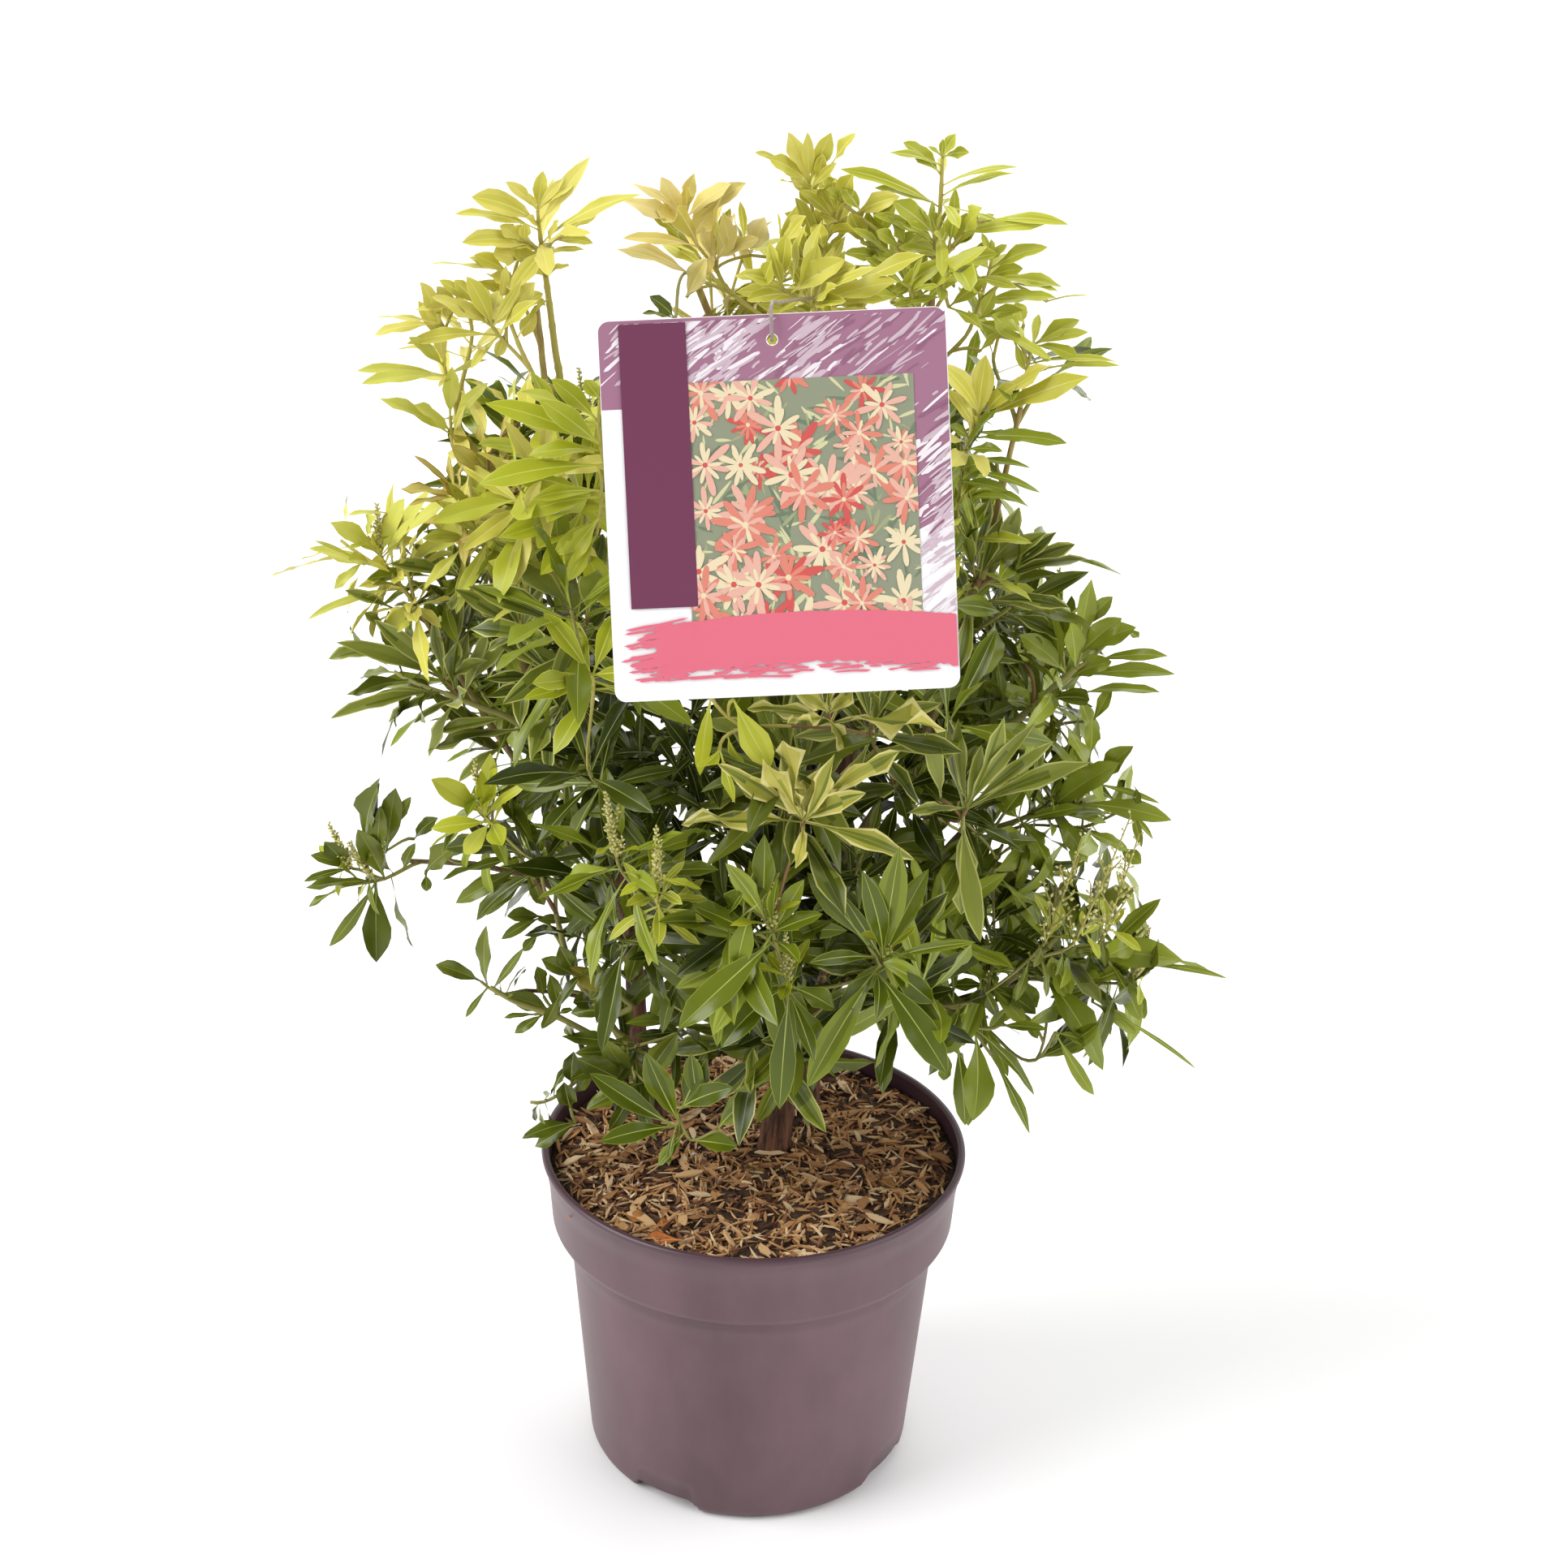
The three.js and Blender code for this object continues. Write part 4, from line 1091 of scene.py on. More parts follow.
# Leaves placed one by one: y in mm, habit, tint step (3 for either of the two deepest), then x z of the foot,
# x z of the tip and width in mm.
PLACED = [
    # left leader
    (-6, "lime", 1, [
        (-110, 684, -106, 704, 6), (-106, 689, -99, 703, 4), (-112, 688, -123, 699, 5),
        (-106, 679, -82, 708, 7), (-103, 685, -89, 701, 6), (-109, 678, -138, 695, 10),
        (-113, 672, -147, 685, 6), (-105, 670, -61, 695, 6), (-98, 673, -76, 687, 6),
        (-104, 670, -83, 672, 5), (-113, 666, -144, 671, 9), (-111, 665, -127, 677, 11),
        (-105, 664, -87, 670, 3), (-105, 652, -94, 662, 5), (-123, 656, -160, 659, 4),
        (-112, 652, -122, 668, 11), (-118, 657, -141, 663, 6), (-109, 673, -114, 682, 6),
        (-116, 647, -130, 658, 7),
    ]),
    # second left leader
    (-14, "lime", 1, [
        (-131, 636, -140, 657, 8), (-133, 632, -157, 648, 8), (-131, 627, -170, 626, 6),
        (-134, 632, -151, 643, 8), (-155, 633, -161, 654, 7), (-157, 629, -185, 627, 6),
        (-162, 630, -184, 634, 4), (-128, 636, -115, 654, 5), (-123, 632, -109, 648, 6),
        (-116, 629, -102, 646, 6), (-136, 642, -154, 654, 5), (-126, 644, -124, 662, 4),
        (-140, 636, -166, 642, 4),
    ]),
    # third left leader
    (-8, "spring", 1, [
        (-155, 607, -195, 610, 5), (-155, 603, -193, 603, 6), (-153, 608, -133, 616, 4),
        (-152, 587, -151, 612, 7), (-149, 583, -134, 606, 6), (-153, 580, -168, 594, 9),
        (-153, 576, -185, 595, 7), (-157, 614, -169, 627, 6),
    ]),
    # peach leader
    (18, "peach", 1, [
        (-45, 679, -55, 697, 8), (-43, 680, -37, 700, 6), (-40, 679, -21, 697, 9),
        (-37, 674, -13, 696, 8), (-47, 680, -67, 697, 4), (-46, 672, -71, 687, 8),
        (-47, 672, -55, 684, 11), (-39, 671, -29, 685, 10), (-40, 663, -71, 669, 6),
        (-41, 653, -68, 668, 7), (-42, 647, -74, 664, 5), (-41, 641, -32, 661, 9),
        (-35, 648, -29, 661, 6), (-28, 660, -34, 675, 6), (-26, 659, -18, 677, 8),
        (-24, 660, -7, 672, 7), (-11, 662, -5, 681, 10), (-18, 656, -26, 682, 7),
        (-9, 656, -20, 668, 6),
    ]),
    # dark leaf over the card
    (-30, "deep", 2, [
        (-44, 642, -55, 654, 6), (-51, 641, -59, 645, 3),
    ]),
    # middle leader
    (6, "lime", 2, [
        (15, 703, 13, 722, 5), (18, 702, 24, 723, 8), (14, 704, 4, 721, 8), (13, 700, -2, 712, 8),
        (4, 707, -9, 714, 3), (20, 695, 29, 708, 4), (27, 708, 37, 722, 6), (19, 689, 12, 698, 6),
        (25, 683, 17, 697, 5), (16, 693, 8, 703, 5), (19, 697, 21, 713, 5),
    ]),
    # middle right leader
    (4, "lime", 1, [
        (28, 685, 22, 700, 6), (31, 685, 37, 704, 9), (25, 681, 12, 697, 6), (37, 684, 58, 696, 8),
        (35, 675, 21, 686, 7), (14, 667, 12, 694, 7), (5, 669, 14, 686, 8), (42, 672, 36, 687, 9),
    ]),
    # right leader
    (0, "spring", 0, [
        (75, 705, 59, 721, 8), (72, 708, 52, 717, 4), (76, 712, 70, 719, 2), (78, 700, 112, 712, 3),
        (79, 697, 110, 709, 4), (77, 712, 89, 717, 5), (78, 713, 83, 724, 5), (76, 714, 77, 722, 3),
        (75, 690, 30, 707, 6), (74, 686, 46, 700, 5), (78, 677, 72, 689, 7), (83, 677, 84, 689, 7),
    ]),
    # right leader low
    (-6, "spring", 0, [
        (82, 691, 110, 683, 3), (97, 685, 136, 686, 5), (88, 678, 96, 692, 10), (93, 674, 126, 682, 8),
        (107, 662, 127, 674, 7), (94, 661, 135, 657, 7), (92, 659, 114, 656, 5),
        (111, 657, 133, 653, 4), (93, 649, 132, 650, 7), (129, 649, 149, 652, 2), (74, 674, 46, 689, 6),
        (76, 665, 58, 674, 5), (79, 657, 59, 656, 6), (69, 677, 55, 694, 10), (58, 672, 48, 682, 6),
        (47, 661, 44, 680, 5), (86, 664, 104, 673, 7), (83, 645, 100, 657, 7),
    ]),
    # shoots behind the card
    (-40, "lime", 1, [
        (20, 651, 57, 666, 10), (35, 660, 69, 677, 8), (17, 654, 47, 671, 6), (26, 652, 52, 656, 6),
        (13, 658, 21, 681, 8), (9, 662, 0, 681, 7), (6, 657, -13, 668, 7), (13, 662, 33, 674, 10),
        (2, 663, -17, 664, 6), (22, 662, 38, 671, 8), (7, 665, 9, 684, 8), (4, 653, -11, 655, 7),
        (-4, 658, 0, 673, 7),
    ]),
    # upper right
    (-2, "spring", 0, [
        (124, 631, 145, 640, 8), (128, 628, 149, 635, 5), (130, 628, 146, 623, 6),
        (123, 625, 131, 620, 4), (115, 629, 120, 616, 4), (119, 633, 97, 637, 8),
        (117, 636, 104, 643, 10), (123, 631, 125, 642, 3), (125, 615, 164, 623, 4),
        (131, 616, 165, 620, 3), (119, 637, 114, 648, 7), (101, 639, 118, 644, 6),
    ]),
    # lime whorl by the card
    (-24, "lime", 0, [
        (104, 603, 132, 624, 12), (103, 596, 149, 616, 10), (99, 594, 98, 628, 10),
        (95, 601, 81, 627, 9), (92, 611, 82, 618, 6), (91, 594, 82, 611, 6), (102, 599, 114, 616, 8),
    ]),
    # arching leaves by the card
    (-20, "fresh", 2, [
        (99, 585, 141, 587, 7), (95, 580, 111, 583, 5), (94, 577, 124, 571, 4), (97, 569, 130, 563, 4),
        (98, 562, 125, 555, 5), (90, 572, 102, 575, 7), (93, 562, 114, 562, 6),
    ]),
    # right shoulder
    (-12, "margined", 1, [
        (102, 517, 98, 559, 6), (99, 519, 93, 551, 6), (104, 519, 105, 555, 5), (108, 519, 114, 546, 7),
        (110, 523, 122, 551, 8), (111, 514, 134, 540, 8), (114, 514, 142, 537, 6),
        (115, 512, 150, 532, 8), (114, 508, 156, 524, 8), (108, 502, 149, 505, 7),
        (107, 496, 152, 498, 6), (129, 470, 103, 472, 5), (98, 504, 92, 524, 7),
        (118, 494, 146, 486, 8),
    ]),
    # right middle
    (-8, "fresh", 1, [
        (154, 467, 155, 514, 9), (158, 488, 167, 508, 7), (158, 476, 174, 496, 10),
        (160, 472, 181, 493, 9), (164, 471, 199, 476, 6), (156, 457, 203, 469, 7),
        (157, 453, 197, 459, 6), (156, 460, 171, 474, 10), (149, 467, 127, 488, 10),
        (152, 469, 151, 493, 9), (144, 476, 131, 490, 8), (165, 438, 175, 457, 6),
        (179, 487, 184, 485, 4), (149, 457, 138, 443, 10), (158, 450, 163, 433, 8),
    ]),
    # right low
    (-6, "fresh", 2, [
        (165, 419, 166, 441, 7), (167, 404, 187, 425, 10), (150, 387, 180, 417, 13),
        (160, 392, 209, 386, 9), (174, 404, 202, 395, 3), (189, 389, 195, 371, 4),
        (189, 386, 201, 376, 3), (150, 385, 176, 386, 6), (165, 377, 188, 368, 7),
        (184, 368, 195, 361, 7), (154, 395, 156, 414, 9), (158, 404, 159, 428, 7),
        (149, 383, 170, 363, 10), (153, 346, 135, 375, 9), (163, 354, 163, 374, 9),
        (141, 394, 123, 416, 8),
    ]),
    # margined whorl
    (-100, "margined", 2, [
        (95, 433, 91, 477, 6), (98, 434, 101, 464, 6), (101, 433, 114, 478, 8), (103, 433, 124, 478, 6),
        (104, 432, 136, 465, 6), (103, 430, 152, 459, 8), (97, 427, 96, 377, 11),
        (99, 420, 105, 363, 9), (95, 429, 69, 430, 5), (85, 435, 80, 471, 8),
    ]),
    # long leaves low right
    (-26, "fresh", 3, [
        (158, 318, 218, 318, 14), (193, 311, 242, 306, 3), (147, 305, 185, 254, 14),
        (153, 312, 162, 294, 11), (178, 319, 204, 351, 8), (182, 311, 199, 282, 9),
        (174, 289, 198, 275, 7), (164, 302, 177, 305, 8), (176, 290, 231, 254, 2),
        (131, 304, 146, 288, 8), (140, 314, 124, 343, 8), (148, 321, 131, 357, 7),
    ]),
    # leaves over the rim
    (-50, "fresh", 0, [
        (111, 302, 99, 272, 11), (112, 283, 119, 234, 14), (103, 278, 110, 231, 10),
        (115, 291, 147, 254, 6), (121, 270, 144, 227, 5), (153, 284, 172, 248, 6),
        (149, 285, 171, 280, 5), (107, 295, 91, 267, 10), (124, 287, 148, 287, 5),
    ]),
    # far left spray
    (5, "deep", 3, [
        (-204, 354, -197, 392, 13), (-199, 352, -192, 391, 12), (-194, 350, -187, 388, 11),
        (-196, 345, -193, 377, 9), (-188, 365, -180, 384, 5), (-198, 337, -206, 365, 11),
        (-210, 343, -226, 356, 9), (-214, 341, -233, 348, 6), (-214, 341, -237, 334, 4),
        (-202, 329, -236, 330, 7), (-201, 329, -222, 294, 6), (-202, 328, -202, 288, 13),
        (-179, 358, -166, 372, 7), (-188, 341, -179, 358, 5), (-174, 338, -173, 330, 5),
        (-174, 346, -158, 357, 11), (-161, 347, -149, 364, 8), (-223, 326, -235, 318, 4),
    ]),
    # left lime whorl
    (-50, "bright", 1, [
        (-138, 400, -159, 420, 10), (-135, 402, -136, 423, 8), (-132, 402, -130, 432, 8),
        (-130, 400, -113, 414, 5), (-136, 392, -161, 389, 8), (-134, 392, -145, 378, 8),
        (-131, 395, -128, 393, 4),
    ]),
    # low left twig
    (0, "deep", 2, [
        (-146, 278, -169, 290, 8), (-140, 276, -142, 313, 7), (-138, 277, -123, 301, 4),
        (-146, 270, -155, 259, 3), (-113, 263, -130, 273, 9), (-113, 270, -118, 288, 8),
        (-118, 259, -134, 259, 3), (-114, 260, -128, 249, 5), (-104, 263, -107, 286, 7),
        (-113, 317, -131, 320, 7), (-112, 313, -135, 307, 5), (-115, 307, -123, 299, 5),
        (-94, 315, -115, 316, 5),
    ]),
    # left under leaves
    (-14, "deep", 2, [
        (-121, 355, -155, 331, 8), (-121, 350, -135, 333, 6), (-118, 355, -112, 332, 7),
        (-120, 352, -142, 329, 6), (-102, 343, -92, 320, 7),
    ]),
    # left rim spray
    (-20, "deep", 3, [
        (-95, 205, -124, 198, 8), (-95, 202, -116, 191, 8), (-93, 215, -100, 232, 10),
        (-92, 223, -94, 250, 9),
    ]),
    # curled shoot
    (-134, "cream", 1, [
        (19, 436, -35, 433, 10), (25, 436, 72, 422, 8), (17, 438, -17, 469, 8), (19, 440, 6, 471, 8),
        (21, 440, 14, 479, 10), (21, 440, 27, 466, 7), (23, 440, 37, 459, 6), (24, 437, 46, 459, 8),
        (25, 441, 37, 471, 7), (29, 448, 63, 474, 9),
    ]),
    # upper curled shoot
    (-118, "cream", 1, [
        (29, 480, -6, 486, 7), (30, 483, 15, 496, 7), (34, 482, 43, 497, 7), (32, 480, 42, 466, 7),
        (38, 477, 85, 485, 10),
    ]),
    # limes under the card
    (-132, "bright", 1, [
        (-22, 496, -30, 460, 9), (-12, 495, 4, 464, 12),
    ]),
    # front whorl
    (-122, "fresh", 0, [
        (57, 363, 42, 398, 6), (59, 365, 51, 410, 9), (61, 365, 64, 421, 12), (63, 363, 78, 411, 10),
        (53, 368, 27, 410, 10), (56, 359, 25, 363, 6), (59, 356, 26, 294, 12), (61, 353, 95, 303, 13),
        (64, 358, 84, 340, 10), (66, 359, 103, 373, 5), (55, 358, 43, 333, 9),
    ]),
    # middle whorl
    (-128, "fresh", 0, [
        (17, 346, 12, 285, 11), (19, 346, 31, 315, 10), (13, 347, -19, 321, 11), (21, 349, 39, 341, 9),
    ]),
    # left of middle
    (-132, "fresh", 1, [
        (-2, 391, -10, 364, 10), (9, 382, 31, 390, 8), (7, 375, -35, 329, 13), (3, 378, -17, 325, 10),
        (11, 383, 22, 408, 8), (3, 383, -12, 418, 8), (0, 378, -30, 392, 10), (5, 391, 6, 430, 9),
    ]),
    # spray on the mulch
    (-62, "fresh", 0, [
        (-42, 235, -55, 275, 12), (-36, 242, -25, 273, 12), (-45, 235, -86, 256, 10),
        (-44, 226, -79, 224, 9), (-32, 236, -11, 258, 10), (-32, 222, -8, 221, 9),
        (-39, 224, -47, 207, 7), (-18, 229, 1, 255, 11), (-28, 244, -33, 275, 9),
    ]),
    # second spray on the mulch
    (-40, "deep", 2, [
        (-65, 241, -91, 261, 11), (-62, 244, -79, 268, 11), (-59, 237, -88, 229, 10),
        (-55, 247, -42, 276, 12), (-11, 260, 12, 278, 11),
    ]),
    # left side whorl
    (-8, "spring", 2, [
        (-194, 514, -209, 537, 9), (-189, 522, -177, 548, 10), (-194, 526, -189, 538, 8),
        (-186, 514, -162, 551, 8), (-184, 516, -153, 547, 7), (-176, 508, -139, 537, 10),
        (-184, 538, -203, 538, 3), (-194, 508, -223, 517, 7), (-200, 514, -219, 524, 2),
        (-192, 510, -203, 515, 7), (-198, 509, -210, 499, 5), (-185, 496, -226, 488, 4),
        (-177, 493, -184, 478, 12), (-188, 504, -196, 502, 4),
    ]),
    # left side under leaves
    (-6, "margined", 2, [
        (-166, 451, -212, 470, 8), (-165, 455, -193, 483, 8), (-182, 466, -216, 467, 7),
        (-183, 488, -206, 498, 5), (-188, 479, -197, 487, 5), (-163, 443, -217, 432, 7),
        (-161, 441, -189, 431, 6), (-162, 446, -196, 442, 6), (-162, 451, -162, 486, 6),
        (-158, 452, -150, 502, 8), (-154, 449, -145, 478, 6), (-153, 439, -175, 430, 4),
        (-155, 438, -168, 411, 6), (-130, 429, -163, 423, 7), (-122, 423, -169, 414, 9),
        (-129, 417, -155, 400, 6), (-148, 446, -137, 480, 6), (-146, 448, -122, 477, 6),
        (-159, 452, -137, 464, 6), (-170, 467, -175, 486, 5),
    ]),
    # left inner whorl
    (-44, "margined", 1, [
        (-117, 491, -146, 515, 7), (-117, 493, -136, 516, 5), (-115, 495, -127, 524, 5),
        (-113, 493, -105, 518, 5), (-112, 491, -101, 508, 5), (-119, 490, -132, 484, 5),
    ]),
    # left inner tip
    (-50, "spring", 1, [
        (-115, 525, -130, 530, 4), (-116, 526, -124, 534, 4), (-112, 529, -109, 543, 5),
        (-110, 526, -96, 536, 5), (-113, 521, -121, 521, 4), (-110, 523, -99, 526, 5),
    ]),
    # between the leaders
    (-4, "spring", 0, [
        (56, 669, 35, 680, 6), (54, 663, 33, 670, 6), (61, 663, 40, 674, 6), (63, 669, 51, 686, 7),
        (61, 656, 46, 668, 6), (56, 646, 78, 671, 8), (76, 647, 57, 645, 5), (81, 655, 66, 659, 5),
        (103, 656, 99, 642, 6), (81, 638, 100, 636, 5), (97, 636, 131, 620, 6), (99, 624, 107, 635, 4),
        (115, 633, 105, 646, 8), (71, 674, 59, 685, 5), (40, 688, 32, 701, 6), (31, 692, 24, 699, 5),
        (102, 667, 108, 676, 4), (102, 664, 93, 672, 5), (68, 657, 56, 651, 5), (89, 663, 79, 658, 5),
    ]),
    # dark leaves by the card
    (-22, "fresh", 2, [
        (95, 584, 85, 595, 5), (94, 579, 85, 572, 7), (99, 589, 119, 588, 4), (88, 559, 102, 575, 6),
        (88, 552, 114, 559, 5), (99, 543, 91, 559, 5),
    ]),
    # low right under leaves
    (-24, "fresh", 0, [
        (114, 301, 146, 284, 9), (163, 297, 175, 301, 7), (127, 274, 119, 299, 6),
        (129, 274, 133, 303, 7), (151, 280, 169, 288, 6), (114, 301, 99, 296, 6), (92, 288, 79, 293, 5),
        (98, 286, 94, 275, 5), (158, 297, 149, 315, 8), (194, 305, 201, 281, 7),
        (129, 303, 117, 324, 8), (108, 307, 94, 323, 8),
    ]),
    # leaves by the left stem
    (-14, "deep", 2, [
        (-72, 277, -97, 273, 7), (-70, 268, -82, 269, 4), (-60, 248, -102, 256, 7),
        (-58, 245, -95, 246, 9), (-58, 243, -84, 228, 7), (-88, 241, -94, 223, 6),
        (-39, 304, -69, 276, 10), (-42, 314, -60, 306, 9), (-35, 296, -55, 265, 11),
        (-27, 291, -44, 276, 7), (-31, 279, -51, 259, 8), (-22, 298, -56, 297, 6),
    ]),
    # old leaf by the left stem
    (-16, "bronze", 0, [
        (-71, 280, -97, 299, 10),
    ]),
    # limes left of the card
    (-92, "bright", 1, [
        (-74, 599, -124, 619, 9), (-75, 610, -95, 629, 8), (-74, 589, -128, 582, 10),
        (-74, 575, -110, 567, 9), (-76, 600, -99, 622, 9), (-74, 620, -80, 630, 6),
        (-75, 581, -104, 574, 7), (-74, 566, -92, 546, 8), (-71, 565, -90, 544, 10),
        (-76, 557, -89, 537, 7), (-77, 606, -109, 612, 8), (-75, 595, -106, 595, 8),
    ]),
    # olive tips at the left
    (-30, "bronze", 1, [
        (-151, 562, -166, 575, 3), (-132, 563, -148, 581, 7), (-140, 554, -173, 559, 5),
        (-119, 538, -159, 550, 4), (-133, 543, -163, 542, 4), (-129, 555, -141, 572, 4),
        (-117, 544, -132, 568, 4), (-125, 535, -148, 533, 4), (-139, 549, -155, 564, 3),
        (-121, 560, -125, 577, 4), (-112, 544, -117, 565, 4), (-148, 551, -169, 550, 3),
        (-113, 552, -101, 569, 5), (-115, 556, -111, 579, 5), (-132, 575, -135, 592, 5),
        (-126, 583, -116, 604, 5), (-117, 591, -110, 612, 5),
    ]),
    # lower leaves of the left leader
    (-10, "lime", 1, [
        (-107, 665, -121, 649, 8), (-112, 652, -124, 638, 8), (-109, 646, -116, 628, 7),
        (-115, 648, -105, 643, 4), (-105, 668, -98, 682, 5), (-127, 659, -138, 665, 7),
        (-117, 672, -126, 679, 7), (-113, 671, -114, 681, 5), (-117, 663, -129, 667, 11),
        (-131, 635, -126, 649, 9), (-121, 637, -111, 655, 8), (-118, 632, -106, 648, 8),
        (-131, 632, -121, 643, 6), (-123, 631, -128, 618, 5), (-133, 625, -142, 613, 4),
        (-159, 632, -163, 652, 8), (-155, 622, -166, 642, 6), (-152, 615, -155, 636, 6),
        (-148, 640, -155, 651, 6), (-137, 647, -147, 654, 6), (-143, 633, -153, 643, 8),
    ]),
    # behind the middle leaders
    (14, "lime", 1, [
        (5, 655, 12, 687, 8), (11, 655, 31, 679, 9), (31, 653, 20, 672, 9), (30, 677, 22, 698, 7),
        (32, 687, 24, 701, 7), (40, 684, 57, 694, 8), (16, 674, 5, 684, 7), (9, 650, -2, 666, 8),
    ]),
    # behind the right leaders
    (12, "spring", 0, [
        (48, 671, 57, 692, 10), (55, 661, 44, 687, 10), (58, 664, 72, 680, 8), (85, 669, 91, 686, 8),
        (87, 672, 104, 684, 9), (78, 664, 64, 673, 8), (83, 647, 72, 661, 7), (99, 643, 121, 646, 6),
        (109, 630, 88, 639, 6), (93, 660, 102, 672, 7), (87, 671, 95, 687, 7), (65, 652, 72, 667, 8),
        (99, 654, 118, 661, 7),
    ]),
    # left leader on the mulch side
    (-24, "deep", 1, [
        (-95, 292, -111, 306, 8), (-91, 297, -101, 315, 8), (-102, 285, -111, 266, 7),
        (-68, 307, -86, 284, 10), (-59, 321, -65, 295, 9), (-83, 277, -95, 284, 8),
    ]),
    # right of the rim
    (-30, "fresh", 1, [
        (99, 262, 98, 245, 7), (108, 258, 112, 218, 9), (115, 280, 133, 249, 6),
        (126, 277, 133, 292, 5), (138, 283, 147, 272, 5), (123, 294, 139, 279, 8),
        (131, 289, 122, 276, 6),
    ]),
    # right inner leaves
    (-18, "fresh", 1, [
        (128, 388, 113, 403, 9), (126, 392, 132, 410, 7), (123, 374, 116, 360, 8),
        (133, 375, 121, 385, 7), (134, 383, 145, 374, 7),
    ]),
]

# Habits that fill a mass, by the record's slot and with their shares.
FILLERS = {
    "foliage_lime": (("lime", 4), ("spring", 3), ("bright", 3)),
    "foliage_fresh": (("spring", 4), ("fresh", 6)),
    "foliage_deep": (("deep", 9), ("fresh", 2), ("margined", 2)),
    "foliage_bronze": (("bronze", 3), ("spring", 3), ("fresh", 2)),
}
OPEN_MASSES = ("leaves_top_", "leaves_upper_left", "leaves_far_left", "leaves_low_left_twig", "leaves_pot_front")
TWIG_TINTS = (("Twig brown", "7A5638"), ("Twig olive", "8E8A48"), ("Twig lime", "B3A856"), ("Twig red", "7E6038"))
TWIG_OF_HABIT = {
    "lime": 2, "bright": 2, "peach": 2, "spring": 2, "fresh": 1, "deep": 1, "margined": 3, "cream": 3, "bronze": 3,
}

# Where what grows counts as the back, and where chance flower spikes end.
CROWN_MIDDLE = 30 * MM
SPIKE_CEILING = 560 * MM
SPIKE_SHARE = 0.09

# A twig starts where it costs least: its length, and metres for each turn at its ends and for running down.
TURNING_COST = 0.05
FALLING_COST = 0.02
SHORTEST_TWIG = 12 * MM
LONG_TWIG = 60 * MM
TWIG_STEP = 4 * MM
TWIG_TIP = 0.85 * MM
TWIG_SIDES = 7
TWIG_SCARS = 0.22

# How much a leaf's upper face turns up and outwards, and where across the plant tints are painted lighter for side
# light.
FACING_UP = 0.3
FACING_OUT = 0.45
PAINTED_LIGHT_FROM = (84 * MM, 140 * MM)

# Leaves placed one by one: how near its foot has to be to wood, and what a bent leaf needs to look the size
# that the table gives.
FOOT_REACH = 8 * MM
BENT_LENGTH = 1.02
BENT_WIDTH = 1.18
BENT_ARCH = 0.46
EITHER_STEP = 3

# How far a listed shoot keeps others from standing in front of it, across and in depth (mm), and how
# far to the side its own leaves point where those that show are placed one by one.
HAND_PLACED_REACH = 44 * MM
HAND_PLACED_DEPTH = 14
AHEAD_OR_BACK = 0.42

# Shoots that fill a mass: the share of its box that they take, the share of the spacing that they keep, the
# tries for each, the y from which they lean outwards, and how far from the middle deep ones are common: past it
# most turn to lighter fresh ones, which is painted light on the sides of the plant.
FILL_SHARE = 0.52
APART = 0.82
TRIES = 30
MIDDLE_OF_FILL = 15 * MM
SIDE_LIGHT_BEYOND = 80 * MM

# The room past the CAD box that leaves may take, and how far they stay clear of mulch, pot wall (beside and
# above it) and card, also in front of the card.
LEAF_ROOM = np.array([9, 9, 9]) * MM
LEAF_ROOM_ABOVE = np.array([9, 9, 6]) * MM
MULCH_CLEARANCE = 4 * MM
WALL_CLEARANCE = (2 * MM, 1.5 * MM)
CARD_CLEARANCE = 3 * MM
CARD_VIEW = 60 * MM


def masses_by_slot():
    """The record's slot of every mass of foliage."""
    rows = frame["record"]["subparts"]
    return {row["node"]: row["material_slot"] for row in rows if row["node"].startswith("leaves_")}


def aim(lean, forward):
    """The direction of a shoot that leans to the right and towards the front."""
    lean = math.radians(lean)
    forward = math.radians(forward)
    across = math.sin(lean) * math.cos(forward)
    return Vector((across, -math.sin(forward), math.cos(lean) * math.cos(forward))).normalized()


